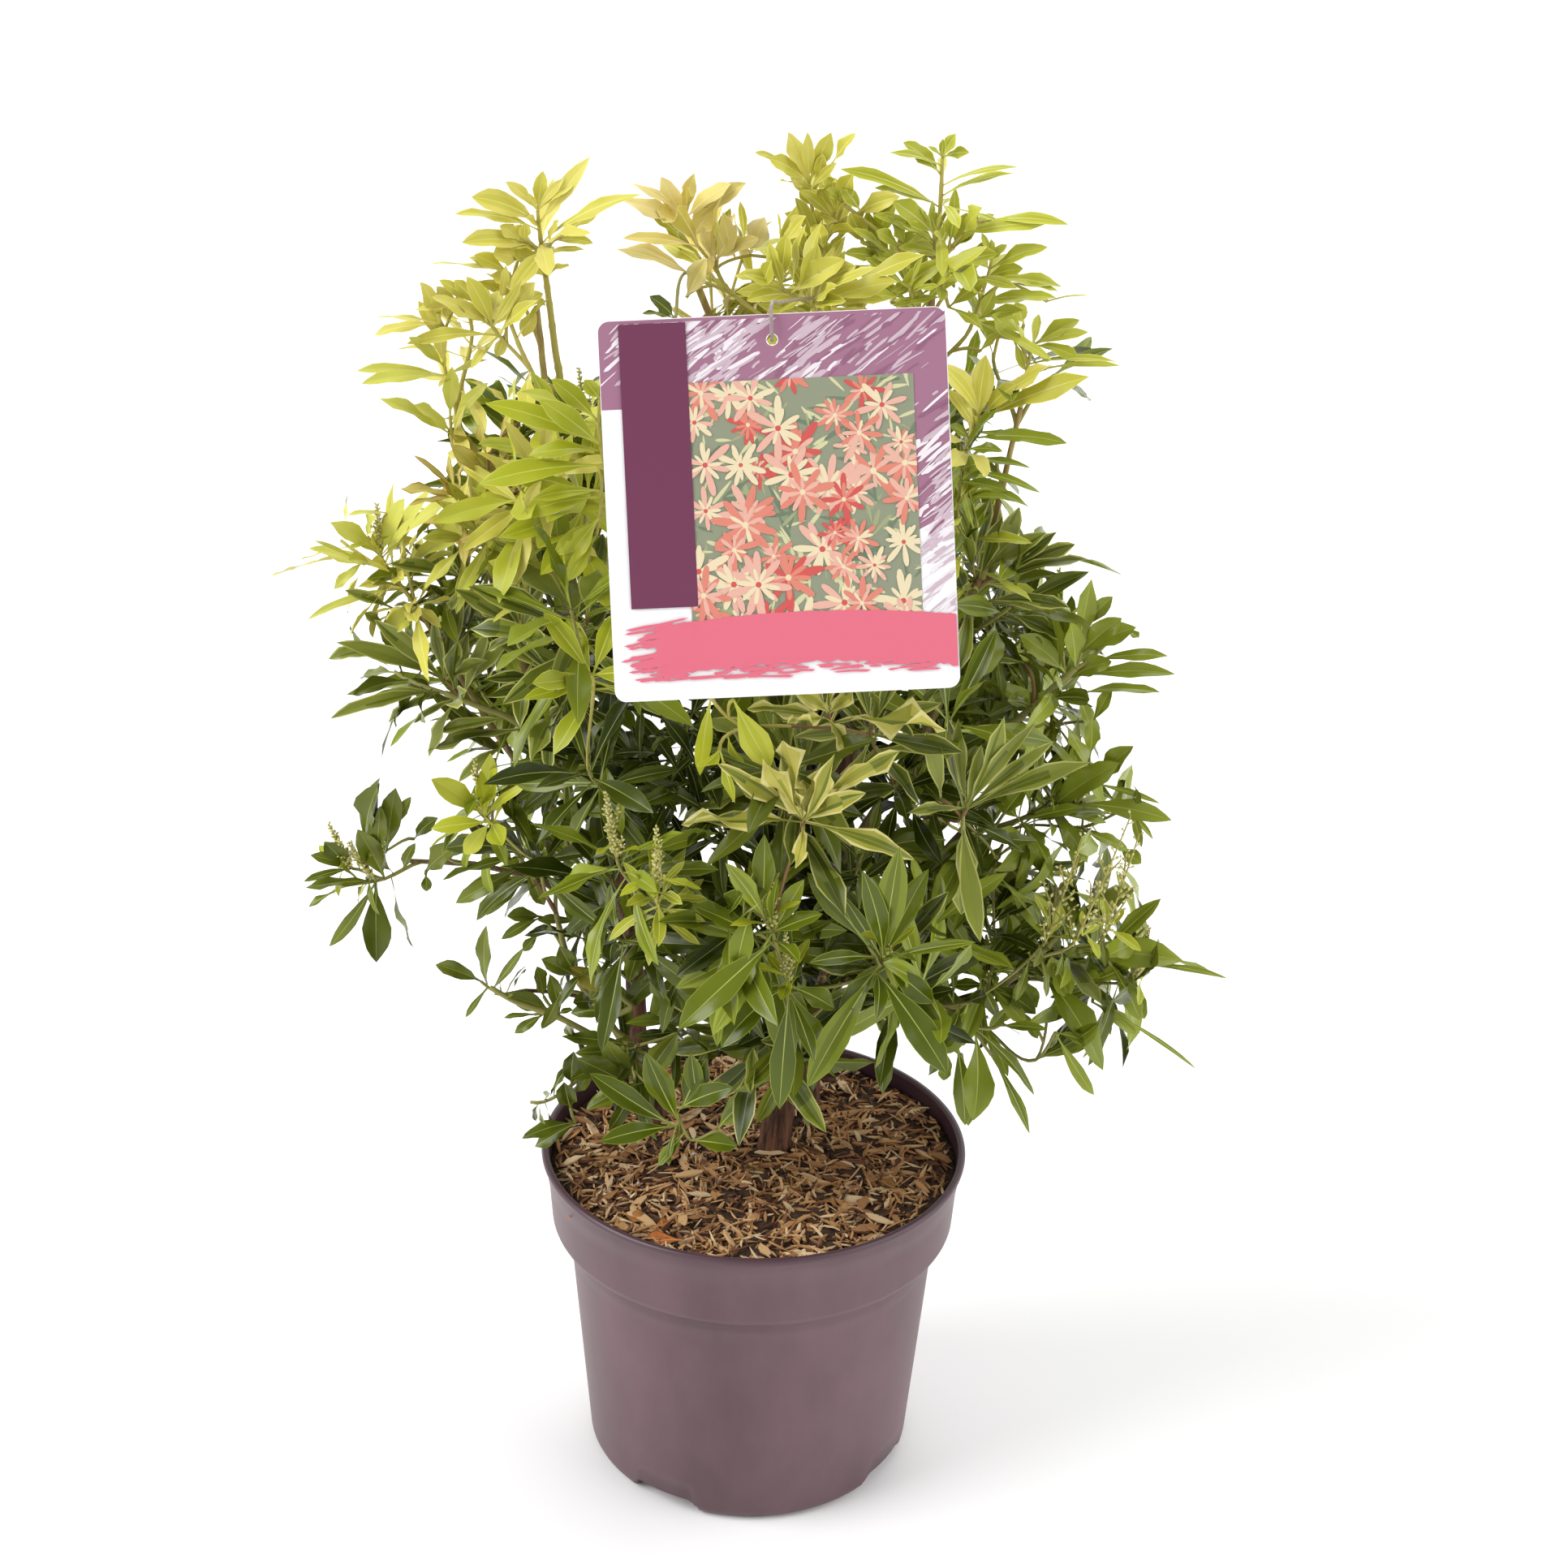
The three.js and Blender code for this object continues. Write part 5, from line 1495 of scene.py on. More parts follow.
class Skeleton:
    """Points on the limbs and on the twigs grown so far, from which the next twig may start."""

    def __init__(self):
        self.points = np.zeros((0, 3))
        self.tangents = np.zeros((0, 3))
        self.radii = np.zeros(0)

    def add(self, points, radii):
        tangents = np.gradient(points, axis=0)
        tangents /= np.linalg.norm(tangents, axis=1)[:, None]
        self.points = np.vstack([self.points, points])
        self.tangents = np.vstack([self.tangents, tangents])
        self.radii = np.concatenate([self.radii, radii])

    def nearest(self, tip):
        return np.linalg.norm(self.points - np.array(tip), axis=1).min()

    def closest(self, place):
        return Vector(self.points[np.argmin(np.linalg.norm(self.points - np.array(place), axis=1))])

    def start_for(self, tip, axis):
        """The start that gives a short twig which leaves its limb and reaches its tip at easy angles."""
        offset = np.array(tip) - self.points
        reach = np.linalg.norm(offset, axis=1)
        ahead = offset / np.maximum(reach, 1e-6)[:, None]
        cost = reach + TURNING_COST * (1 - np.sum(ahead * self.tangents, axis=1))
        cost = cost + TURNING_COST * (1 - ahead @ np.array(axis)) + FALLING_COST * (1 - ahead[:, 2])
        cost[reach < SHORTEST_TWIG] += 1
        return int(np.argmin(cost))

    def twig(self, tip, axis):
        """Route and radii of a twig that bends from the run of its limb into that of its shoot."""
        i = self.start_for(tip, axis)
        start = self.points[i]
        tip = np.array(tip)
        reach = np.linalg.norm(tip - start)
        ahead = (tip - start) / reach
        leave = (0.6 * ahead + 0.4 * self.tangents[i]) * reach
        arrive = np.array(axis) * reach * 0.85
        steps = max(6, int(reach / TWIG_STEP))
        t = np.linspace(0, 1, steps)[:, None]
        route = (
            (2 * t**3 - 3 * t**2 + 1) * start
            + (t**3 - 2 * t**2 + t) * leave
            + (3 * t**2 - 2 * t**3) * tip
            + (t**3 - t**2) * arrive
        )
        foot = min(self.radii[i] * 0.85, (0.95 + reach * 5) * MM)
        radii = np.linspace(foot, TWIG_TIP, steps)
        self.add(route[2:], radii[2:])
        return route, radii


class Canopy:
    """Leaves, twigs and buds as the shoots deal them out."""

    def __init__(self, settings):
        self.rng = random.Random(settings.seed)
        self.leaves = []
        self.twigs = MeshParts()
        self.buds = MeshParts()
        self.skeleton = Skeleton()

    def add_leaf(self, **leaf):
        self.leaves.append(leaf)


def place_back(route, distance):
    """Point and tangent at this distance back from the end of a route."""
    i = len(route) - 1
    while i > 0:
        step = np.linalg.norm(route[i] - route[i - 1])
        if step >= distance:
            tangent = (route[i] - route[i - 1]) / step
            return Vector(route[i] - tangent * distance), Vector(tangent)
        distance -= step
        i -= 1
    tangent = (route[1] - route[0]) / np.linalg.norm(route[1] - route[0])
    return Vector(route[0]), Vector(tangent)


def leaf_frame(tangent, radial, opening, outward):
    """Directions along a leaf and out of its upper face, for its opening from the shoot."""
    ahead = tangent * math.cos(opening) + radial * math.sin(opening)
    upper = tangent * math.sin(opening) - radial * math.cos(opening) + UP * FACING_UP + outward * FACING_OUT
    upper = (upper - ahead * upper.dot(ahead)).normalized()
    return ahead.normalized(), upper


def dress_shoot(canopy, route, habit, size, sideways=1.0):
    """Deals a shoot's leaves: young upright ones at its tip, open and hanging ones down its side."""
    kind = HABITS[habit]
    rng = canopy.rng
    count = max(5, round(kind.leaves * (0.75 + 0.25 * size)))
    leafy = kind.leafy * (size * MM)
    bearing = rng.uniform(0, TURN)
    # Leaves at the sides of the plant get lighter tints: painted side light.
    step = rng.choices((0, 1, 2), (3, 4, 3))[0] + painted_side_light(route[-1][0], habit)
    for i in range(count):
        down = i / (count - 1)
        point, tangent = place_back(route, leafy * down**1.3)
        bearing += GOLDEN_ANGLE + rng.gauss(0, 0.14)
        radial = around(tangent, bearing)
        opening = math.radians(kind.tip_open + (kind.foot_open - kind.tip_open) * down**0.65 + rng.gauss(0, 11))
        outward = Vector((point.x * 0.3, point.y - CROWN_MIDDLE * 2, 0)).normalized()
        ahead, upper = leaf_frame(tangent, radial, opening, outward)
        if abs(ahead.x) > sideways:
            continue
        grown = min(1.0, kind.youth + 1.9 * down) * (1.0 - 0.1 * down)
        length = kind.length * size * MM * grown * rng.uniform(0.8, 1.14)
        canopy.add_leaf(
            origin=point + radial * 0.6 * MM,
            ahead=ahead,
            upper=upper,
            length=length,
            width=length / kind.slimness * rng.uniform(0.9, 1.12),
            droop=math.radians(kind.droop * (0.45 + 0.75 * down) * rng.uniform(0.5, 1.4)),
            sway=rng.gauss(0, 0.22),
            twist=rng.gauss(0, 0.36),
            fold=math.radians(kind.fold * rng.uniform(0.5, 1.4)),
            wave=kind.wave * rng.uniform(0.4, 1.2),
            phase=rng.uniform(0, TURN),
            rim=kind.rim * MM,
            livery=habit,
            step=min(LIGHTEST, max(0, step + rng.choice((-1, 0, 0, 0, 1)))),
            part=part_of(point),
        )
        if habit == "cream" and sideways < 1.0 and ahead.z < -0.3:
            canopy.leaves.pop()  # a hanging leaf that the curled shoots don't have


def grow_stalk(canopy, y, habit, radius, line):
    """A bare stalk along its line, from the nearest wood, thinner towards its tip."""
    knots = [Vector((x, y, z)) * MM for x, z in line]
    knots.insert(0, canopy.skeleton.closest(knots[0]))
    steps = 8 + 5 * len(knots)
    route = smooth_line(knots, steps)
    radii = np.linspace(radius, 0.7 * radius, steps) * MM
    add_twig(canopy, route, radii, habit, brown=0.0)
    canopy.skeleton.add(route, radii)


def painted_side_light(x, habit):
    """Painted side light: how many steps lighter the leaves at the sides of the plant are, apart from variegated
    ones.
    """
    return 0 if habit in VARIEGATED else sum(abs(x) > limit for limit in PAINTED_LIGHT_FROM)


def place_leaf(canopy, y, habit, step, place):
    """Hangs one leaf on the wood nearest to its foot, with its tip where the table has it."""
    foot_x, foot_z, tip_x, tip_z, width = place
    rng = canopy.rng
    foot = Vector((foot_x, y, foot_z)) * MM
    near = canopy.skeleton.closest(foot)
    if (near - foot).length < FOOT_REACH:
        foot = near
    else:
        route, radii = canopy.skeleton.twig(foot, (foot - near).normalized())
        add_twig(canopy, route, radii, habit)
    reach = math.hypot(tip_x * MM - foot.x, tip_z * MM - foot.z)
    tip = Vector((tip_x, y - 4, tip_z)) * MM
    # Along the line of sight, so that the tip still shows where the table has it.
    tip += (tip - CAMERA_PLACE) * (reach * rng.uniform(-0.4, 0.15) / (tip.y - CAMERA_PLACE.y))
    ahead = (tip - foot).normalized()
    level = math.hypot(ahead.x, ahead.y)
    upper = Vector((rng.uniform(-0.3, 0.3), -0.7, 0.2 + 0.6 * level))
    upper = (upper - ahead * upper.dot(ahead)).normalized()
    droop = rng.uniform(0.1, 0.4) + 0.45 * level
    arch = BENT_ARCH * droop
    kind = HABITS[habit]
    canopy.add_leaf(
        origin=foot,
        ahead=(ahead + upper * arch).normalized(),
        upper=(upper - ahead * arch).normalized(),
        length=(tip - foot).length * BENT_LENGTH,
        width=width * BENT_WIDTH * MM,
        droop=droop,
        sway=rng.gauss(0, 0.12),
        twist=rng.gauss(0, 0.9 if habit == "cream" else 0.3),
        fold=math.radians(kind.fold * rng.uniform(0.4, 1.2)),
        wave=kind.wave * rng.uniform(0.4, 1.2),
        phase=rng.uniform(0, TURN),
        rim=kind.rim * MM,
        livery=habit,
        # Leaves at the sides of the plant get lighter tints: painted side light.
        step=min(
            LIGHTEST,
            (rng.choice((0, 1)) if step == EITHER_STEP else step) + rng.choice((0, 0, 1)) + painted_side_light(foot.x, habit),
        ),
        part=part_of(foot),
        placed=True,
    )


def part_of(point):
    """Which joined piece takes what grows at this point."""
    side = "left" if point.x < 0 else "right"
    return f"front_{side}" if point.y < CROWN_MIDDLE else "back"


def add_twig(canopy, route, radii, habit, brown=0.3):
    """A twig's tube, brown at the foot of a long one and in its shoot's colour above, with leaf scars."""
    scars = [1 + (SCAR_HEIGHT if canopy.rng.random() < TWIG_SCARS else 0) for _ in route]
    points, faces = sweep(route, [radius * scar for radius, scar in zip(radii, scars)], TWIG_SIDES)
    reach = np.linalg.norm(route[-1] - route[0])
    brown_steps = (len(route) - 1) * (brown if reach > LONG_TWIG else 0.0)
    finishes = [0 if i // TWIG_SIDES < brown_steps else TWIG_OF_HABIT[habit] for i in range(len(faces))]
    canopy.twigs.add(points, faces, finishes)


def add_bead(parts, centre, axis, length, width, finish):
    """A closed flower bud: a small urn with a pointed tip."""
    sides = 6
    spokes = [around(axis, TURN * j / sides) for j in range(sides)]
    points = [centre]
    for along, radius in ((0.18, 0.36), (0.45, 0.5), (0.78, 0.3)):
        points += [centre + axis * (along * length) + spoke * (radius * width) for spoke in spokes]
    points.append(centre + axis * length)
    faces = [(0, 1 + (j + 1) % sides, 1 + j) for j in range(sides)] + ring_faces(2, sides, 1)
    last = 1 + 2 * sides
    faces += [(last + j, last + (j + 1) % sides, len(points) - 1) for j in range(sides)]
    parts.add(points, faces, finish)


BUD_TINTS = (("Bud green", "BEBC68"), ("Bud cream", "DAD296"), ("Bud stalk", "AEA65C"))
GREEN, CREAM, STALK = range(3)
# Spacing of the buds, their width and the length of their stalks, in mm, on a main spike and on its side spikes.
TIGHT_BUDS = ((0.62, 2.0, 0.3), (0.9, 1.8, 0.3))
OPEN_BUDS = ((4, 2, 2.4), (2.1, 1.9, 1.8))


def add_spike(canopy, base, lean, length, buds):
    """One spike of buds on short stalks that turn round it, smaller towards its tip; gives its route."""
    rng = canopy.rng
    spacing, bud, stalk = (value * MM for value in buds)
    steps = 7
    route = [
        base + lean * (length * i / steps) + UP * (0.12 * length * (i / steps) ** 2) for i in range(steps + 1)
    ]
    canopy.buds.add(*sweep(route, [0.7 * MM * (1 - 0.5 * i / steps) for i in range(steps + 1)], 5), STALK)
    places = max(3, int(length / spacing))
    bearing = rng.uniform(0, TURN)
    for i in range(places):
        along = 0.1 + 0.9 * (i + 1) / places
        position = along * steps
        k = min(steps - 1, int(position))
        point = route[k].lerp(route[k + 1], position - k)
        tangent = (route[k + 1] - route[k]).normalized()
        bearing += GOLDEN_ANGLE
        outward = (around(tangent, bearing) + tangent * 0.9).normalized()
        taper = 1.05 - 0.45 * along
        foot = point + outward * stalk * taper
        if stalk > 1.5 * MM:
            canopy.buds.add(*sweep([point, foot], [0.3 * MM, 0.25 * MM], 4), STALK)
        cream = rng.random() < 0.15 + 0.6 * along
        add_bead(canopy.buds, foot, outward, bud * taper * 1.6, bud * taper, CREAM if cream else GREEN)
    return route


def add_branches(canopy, route, axis, count, spread, length, buds):
    """Side spikes that start along a main one, all round it."""
    rng = canopy.rng
    bearing = rng.uniform(0, TURN)
    for i in range(count):
        start = route[min(len(route) - 2, int(len(route) * 0.7 * i / count))]
        bearing += GOLDEN_ANGLE
        lean = (axis + around(axis, bearing) * rng.uniform(*spread)).normalized()
        add_spike(canopy, start, lean, length * rng.uniform(0.7, 1.1) * (1 - 0.4 * i / count), buds)


def add_bracts(canopy, base, axis, count):
    """Small bright leaves round the foot of a flower spike."""
    rng = canopy.rng
    bearing = rng.uniform(0, TURN)
    for _ in range(count):
        bearing += GOLDEN_ANGLE
        radial = around(axis, bearing)
        ahead, upper = leaf_frame(axis, radial, math.radians(rng.uniform(40, 80)), radial)
        length = rng.uniform(12, 24) * MM
        canopy.add_leaf(
            origin=base + axis * rng.uniform(2, 8) * MM,
            ahead=ahead,
            upper=upper,
            length=length,
            width=length * 0.3,
            droop=rng.uniform(0.1, 0.5),
            sway=rng.gauss(0, 0.2),
            twist=rng.gauss(0, 0.3),
            fold=0.3,
            wave=0.2,
            phase=0.0,
            rim=0.3 * MM,
            livery="bright",
            step=rng.choice((0, 1)),
            part=part_of(base),
        )


def add_buds(canopy, route, spikes, size):
    """Flower buds at a shoot's tip: tight upright spikes, or long open ones where negative."""
    rng = canopy.rng
    base = Vector(route[-1])
    tip_axis = Vector(route[-1] - route[-2]).normalized()
    for i in range(abs(spikes)):
        spread = Vector((rng.gauss(0, 1), rng.gauss(0, 0.7), 0)) * (0.1 if i == 0 else 0.34)
        if spikes > 0:
            axis = (tip_axis * 0.5 + UP + spread).normalized()
            length = rng.uniform(28, 35) * MM * size * (1 if i == 0 else 0.7)
            stem = add_spike(canopy, base, axis, length, TIGHT_BUDS[0])
            add_branches(canopy, stem, axis, 5 if i == 0 else 2, (0.2, 0.6), length * 0.4, TIGHT_BUDS[1])
        else:
            axis = (tip_axis + UP * 0.45 + spread).normalized()
            length = rng.uniform(52, 74) * MM
            stem = add_spike(canopy, base, axis, length, OPEN_BUDS[0])
            add_branches(canopy, stem, axis, 7, (0.6, 1.0), 19 * MM, OPEN_BUDS[1])
    if spikes:
        add_bracts(canopy, base, tip_axis, 4)


def grow_shoot(canopy, tip, axis, habit, size, spikes=0):
    """One twig with its leaves; where some are placed one by one, only those that point ahead or back."""
    route, radii = canopy.skeleton.twig(tip, axis)
    add_twig(canopy, route, radii, habit)
    dress_shoot(canopy, route, habit, abs(size), AHEAD_OR_BACK if size < 0 else 1.0)
    if spikes:
        add_buds(canopy, route, spikes, max(0.8, size))


def hides_shoot(tip):
    """Whether a shoot here would stand in front of one of the listed shoots."""
    for x, y, z, _, _, _, size, _ in SHOOTS:
        apart = math.hypot(tip.x - x * MM, tip.z - z * MM)
        if apart < HAND_PLACED_REACH * abs(size) and tip.y < (y + HAND_PLACED_DEPTH) * MM:
            return True
    return False


def mass_shoots(name, slot, settings, rng, taken):
    """Tips and directions of shoots that fill a mass, kept apart from those already there."""
    if name.startswith(OPEN_MASSES):
        return []
    mesh = frame["nodes"][name].data
    tree = BVHTree.FromPolygons([v.co for v in mesh.vertices], [tuple(p.vertices) for p in mesh.polygons])
    low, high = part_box(name)
    centre = (low + high) / 2
    size = high - low
    room = FILL_SHARE * size.x * size.y * size.z
    wanted = max(1, round(room / settings.spacing**3))
    habits, shares = zip(*FILLERS[slot])
    shoots = []
    for _ in range(wanted * TRIES):
        if len(shoots) == wanted:
            break
        direction = Vector((rng.gauss(0, 1), rng.gauss(0, 1), rng.gauss(0.25, 1))).normalized()
        hit = tree.ray_cast(centre, direction)
        if hit[0] is None:
            continue
        tip = centre + direction * hit[3] * rng.uniform(0.2, settings.inset)
        if any((tip - other).length < settings.spacing * APART for other in taken) or hides_shoot(tip):
            continue
        outward = Vector((tip.x, tip.y - MIDDLE_OF_FILL, 0)).normalized()
        axis = (direction * 0.55 + outward * 0.5 + UP * 0.75).normalized()
        taken.append(tip)
        habit = rng.choices(habits, shares)[0]
        # Dark leaves far out at the sides mostly turn to lighter fresh ones: painted side light.
        if habit == "deep" and abs(tip.x) > SIDE_LIGHT_BEYOND and rng.random() < 0.8:
            habit = "fresh"
        shoots.append((tip, axis, habit, rng.uniform(0.85, 1.1)))
    return shoots


def strays(points):
    """Which leaves reach outside the CAD box and the room that leaf tips may take beyond it."""
    low = np.array(CAD_BOUNDS[0]) - LEAF_ROOM
    high = np.array(CAD_BOUNDS[1]) + LEAF_ROOM_ABOVE
    return (points < low).any(axis=(1, 2)) | (points > high).any(axis=(1, 2))


def fouls_pot(points):
    """Which leaves dip into the mulch or cut the pot's wall."""
    radius = np.linalg.norm(points[..., :2], axis=-1)
    height = points[..., 2]
    beside, above = WALL_CLEARANCE
    in_soil = (radius < SOIL_RADIUS) & (height < SOIL_LEVEL + MULCH_CLEARANCE)
    in_wall = (radius >= SOIL_RADIUS) & (radius < RIM_RADIUS + beside) & (height < POT_HEIGHT + above)
    return (in_soil | in_wall).any(axis=1)


def fouls_card(points):
    """Which leaves cut the card or hang before its face."""
    inverse = np.array(card_matrix().inverted())
    local = points @ inverse[:3, :3].T + inverse[:3, 3]
    across, up, out = np.moveaxis(local, -1, 0)
    inside = (np.abs(across) < CARD_WIDTH / 2 + CARD_CLEARANCE) & (np.abs(up) < CARD_HEIGHT / 2 + CARD_CLEARANCE)
    return (inside & (out > -CARD_CLEARANCE) & (out < CARD_VIEW)).any(axis=1)


# Gaps in the crown that show the background from the camera: x and z in mm where y is 0, and radius.
OPENINGS = (
    (-125, 622, 4), (-103, 618, 4), (-82, 650, 13), (-71, 641, 12), (-94, 637, 7), (-58, 653, 6),
    (-88, 615, 9), (-94, 609, 6), (-114, 630, 5), (-114, 615, 5), (-48, 651, 11), (-43, 641, 8),
    (-18, 658, 6), (-30, 645, 4), (88, 636, 6), (86, 620, 6), (118, 589, 8), (115, 573, 8), (129, 565, 12),
    (137, 549, 8), (159, 533, 10), (-5, 692, 9), (66, 701, 7), (137, 592, 10), (134, 569, 10),
    (153, 558, 12), (-159, 590, 6), (-164, 562, 8), (-135, 610, 5), (132, 269, 6), (110, 285, 4),
    (51, 244, 5), (-177, 412, 8), (202, 413, 8), (213, 387, 10), (222, 327, 8), (-61, 270, 5),
    (-159, 316, 10), (-109, 239, 9), (-122, 224, 10), (-126, 259, 7), (-112, 298, 5), (-145, 203, 8),
    (-91, 270, 5), (-125, 317, 4), (178, 439, 10), (157, 217, 8), (141, 242, 7), (-165, 383, 9),
    (-183, 348, 4), (126, 380, 5), (123, 361, 4), (184, 375, 5), (205, 352, 8), (112, 400, 4), (99, 372, 4),
    (167, 647, 14), (184, 626, 17), (176, 591, 16), (193, 575, 16), (158, 564, 9), (149, 580, 5),
    (199, 429, 10), (210, 414, 11), (224, 350, 9), (235, 322, 14), (253, 318, 13), (231, 269, 10),
    (250, 260, 16), (216, 244, 7), (205, 221, 10), (189, 208, 10), (167, 197, 9), (260, 289, 9),
    (-212, 492, 5), (-219, 474, 7), (-223, 442, 11), (-205, 416, 11), (-214, 402, 8), (-181, 410, 6),
    (-140, 406, 4), (-150, 402, 4), (-159, 330, 7), (-167, 316, 11), (-153, 306, 6), (-177, 291, 6),
    (209, 436, 7), (-113, 710, 5), (-37, 714, 6), (74, 726, 6), (215, 319, 6), (212, 284, 7), (224, 291, 5),
    (146, 277, 5), (86, 237, 6), (112, 621, 6), (138, 638, 6), (125, 612, 4), (-214, 527, 6),
    (-218, 539, 6), (-189, 558, 5), (179, 268, 4), (-96, 626, 4),
)


def fills_opening(points):
    """Which leaves hang in a line of sight that stays open."""
    eye = np.array(CAMERA_PLACE)
    filled = np.zeros(len(points), bool)
    for x, z, radius in OPENINGS:
        sight = np.array([x, 0, z]) * MM - eye
        sight /= np.linalg.norm(sight)
        offset = points - eye
        apart = np.linalg.norm(offset - (offset @ sight)[..., None] * sight, axis=-1)
        filled |= (apart < radius * MM).any(axis=1)
    return filled


def settle_leaves(leaves):
    """Shortens leaves that stray, lifts those that dip into the pot, and drops what still won't fit."""
    for _ in range(4):
        points = leaf_grid(leaves)
        long = strays(points) | fouls_card(points)
        dip = fouls_pot(points)
        if not (long | dip).any():
            break
        for i in np.nonzero(long)[0]:
            leaves[i]["length"] *= 0.84
            leaves[i]["width"] *= 0.9
        for i in np.nonzero(dip)[0]:
            leaf = leaves[i]
            leaf["droop"] -= 0.3
            ahead = (leaf["ahead"] + UP * 0.25).normalized()
            leaf["ahead"] = ahead
            leaf["upper"] = (leaf["upper"] - ahead * leaf["upper"].dot(ahead)).normalized()
    points = leaf_grid(leaves)
    by_hand = np.array([leaf.get("placed", False) for leaf in leaves])
    kept = ~(strays(points) | fouls_pot(points) | fouls_card(points) | (fills_opening(points) & ~by_hand))
    return [leaf for leaf, keep in zip(leaves, kept) if keep], points[kept]


def grow_canopy(settings):
    """Grows the listed shoots first, then those that fill the masses, each from the nearest wood."""
    canopy = Canopy(settings)
    for name in STEMS + BOUGHS:
        sections = limb_sections(name)
        line = smooth_line(sections, 60)
        canopy.skeleton.add(line[:, :3], line[:, 3])
    for y, habit, radius, line in STALKS:
        grow_stalk(canopy, y, habit, radius, line)
    placed = [
        (Vector((x, y, z)) * MM, aim(lean, forward), habit, size, spikes)
        for x, y, z, lean, forward, habit, size, spikes in SHOOTS
    ]
    placed.sort(key=lambda shoot: canopy.skeleton.nearest(shoot[0]))
    for shoot in placed:
        grow_shoot(canopy, *shoot)
    taken = [shoot[0] for shoot in placed]
    fillers = []
    for name, slot in sorted(masses_by_slot().items()):
        fillers += mass_shoots(name, slot, settings, canopy.rng, taken)
    fillers.sort(key=lambda shoot: canopy.skeleton.nearest(shoot[0]))
    for tip, axis, habit, size in fillers:
        spikes = 1 if canopy.rng.random() < SPIKE_SHARE and tip.z < SPIKE_CEILING else 0
        grow_shoot(canopy, tip, axis, habit, size, spikes)
    for y, habit, step, places in PLACED:
        for place in places:
            place_leaf(canopy, y, habit, step, place)
    return canopy


def make_sprays(canopy):
    """Joins the leaves into pieces by slot and by front or back, and hides the masses they stand for."""
    leaves, points = settle_leaves(canopy.leaves)
    faces, strips = leaf_faces()
    groups = {}
    for i, leaf in enumerate(leaves):
        slot = LIVERIES[leaf["livery"]].slot
        groups.setdefault((slot, leaf["part"]), []).append(i)
    for (slot, part), members in sorted(groups.items()):
        names = [name for name, livery in LIVERIES.items() if livery.slot == slot]
        materials = [material for name in names for material in livery_materials(name)]
        parts = MeshParts()
        for i in members:
            livery = leaves[i]["livery"]
            start = FINISHES * names.index(livery)
            finish = leaf_finish(livery, leaves[i]["step"], strips, canopy.rng)
            parts.add(points[i].tolist(), faces, [start + number for number in finish])
        name = f"sprays_{slot.removeprefix('foliage_')}_{part}"
        new_piece(name, parts, materials)
    for name, slot in masses_by_slot().items():
        low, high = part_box(name)
        part = part_of((low + high) / 2)
        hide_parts(name)


def make_foliage(settings):
    canopy = grow_canopy(settings)
    make_sprays(canopy)
    twig_finishes = [plain_finish(name, tint(code), 0.6, 600.0, 0.5) for name, code in TWIG_TINTS]
    new_piece("twigs", canopy.twigs, twig_finishes)
    bud_finishes = [plain_finish(name, tint(code), 0.5, 900.0, 0.4) for name, code in BUD_TINTS]
    new_piece("flower_buds", canopy.buds, bud_finishes)


# Dead leaves on the mulch, listed: x y in mm, bearing in degrees, length in mm and tint step.
FALLEN = (
    (-84, -54, 200, 15, 0), (-70, -64, 340, 18, 1), (-34, -88, 170, 24, 0), (-52, -78, 30, 16, 0),
    (20, -44, 70, 34, 2), (-12, -8, 320, 30, 2), (52, 30, 80, 22, 1), (46, -54, 120, 20, 2),
    (-30, 64, 40, 24, 1), (66, -20, 300, 18, 2),
)


def make_fallen_leaves(settings):
    rng = random.Random(settings.seed + 1)
    leaves = []
    for x, y, bearing, length, step in FALLEN:
        x *= MM
        y *= MM
        tilt = Vector((rng.gauss(0, 0.16), rng.gauss(0, 0.16), 1)).normalized()
        ahead = Vector((*polar(1, math.radians(bearing)), 0.12))
        ahead = (ahead - tilt * ahead.dot(tilt)).normalized()
        leaves.append(
            {
                "origin": Vector((x, y, soil_height(x, y, settings.relief) + 3.4 * MM)),
                "ahead": ahead,
                "upper": tilt,
                "length": length * MM,
                "width": length * MM * 0.42,
                "droop": 0.5,
                "sway": 0.2,
                "twist": rng.gauss(0, 0.5),
                "fold": 0.3,
                "wave": 0.5,
                "phase": rng.uniform(0, 6),
                "rim": 0.5 * MM,
                "step": step,
            }
        )
    points = leaf_grid(leaves)
    faces, strips = leaf_faces()
    parts = MeshParts()
    for leaf, grid in zip(leaves, points):
        parts.add(grid.tolist(), faces, leaf_finish("fallen", leaf["step"], strips, rng))
    new_piece("fallen_leaves", parts, livery_materials("fallen"))


# ---------------------------------------------------------------- card and wire
CARD_WIDTH = 150 * MM
CARD_HEIGHT = 164 * MM
CARD_THICKNESS = 0.8 * MM
CARD_CORNER = 5 * MM
CARD_LEAN = 20
CARD_TURN = 4.0
HOLE_RADIUS = 2.5 * MM
HOLE_CENTRE = (0.0, CARD_HEIGHT / 2 - 11 * MM)


def card_matrix():
    """The card's own frame: X across it, Y up it and Z out of its printed face."""
    low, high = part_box("label_card")
    tip_back = Matrix.Rotation(math.radians(90 - CARD_LEAN), 4, "X")
    turn = Matrix.Rotation(math.radians(CARD_TURN), 4, "Z")
    return Matrix.Translation((low + high) / 2) @ tip_back @ turn


def rounded_outline(inset):
    """The card's outline, a little inside its edge."""
    radius = CARD_CORNER - inset
    half_x = CARD_WIDTH / 2 - CARD_CORNER
    half_y = CARD_HEIGHT / 2 - CARD_CORNER
    points = []
    for quarter, (sx, sy) in enumerate(((1, 1), (-1, 1), (-1, -1), (1, -1))):
        for i in range(7):
            angle = math.pi / 2 * (quarter + i / 6)
            points.append((sx * half_x + radius * math.cos(angle), sy * half_y + radius * math.sin(angle)))
    return points


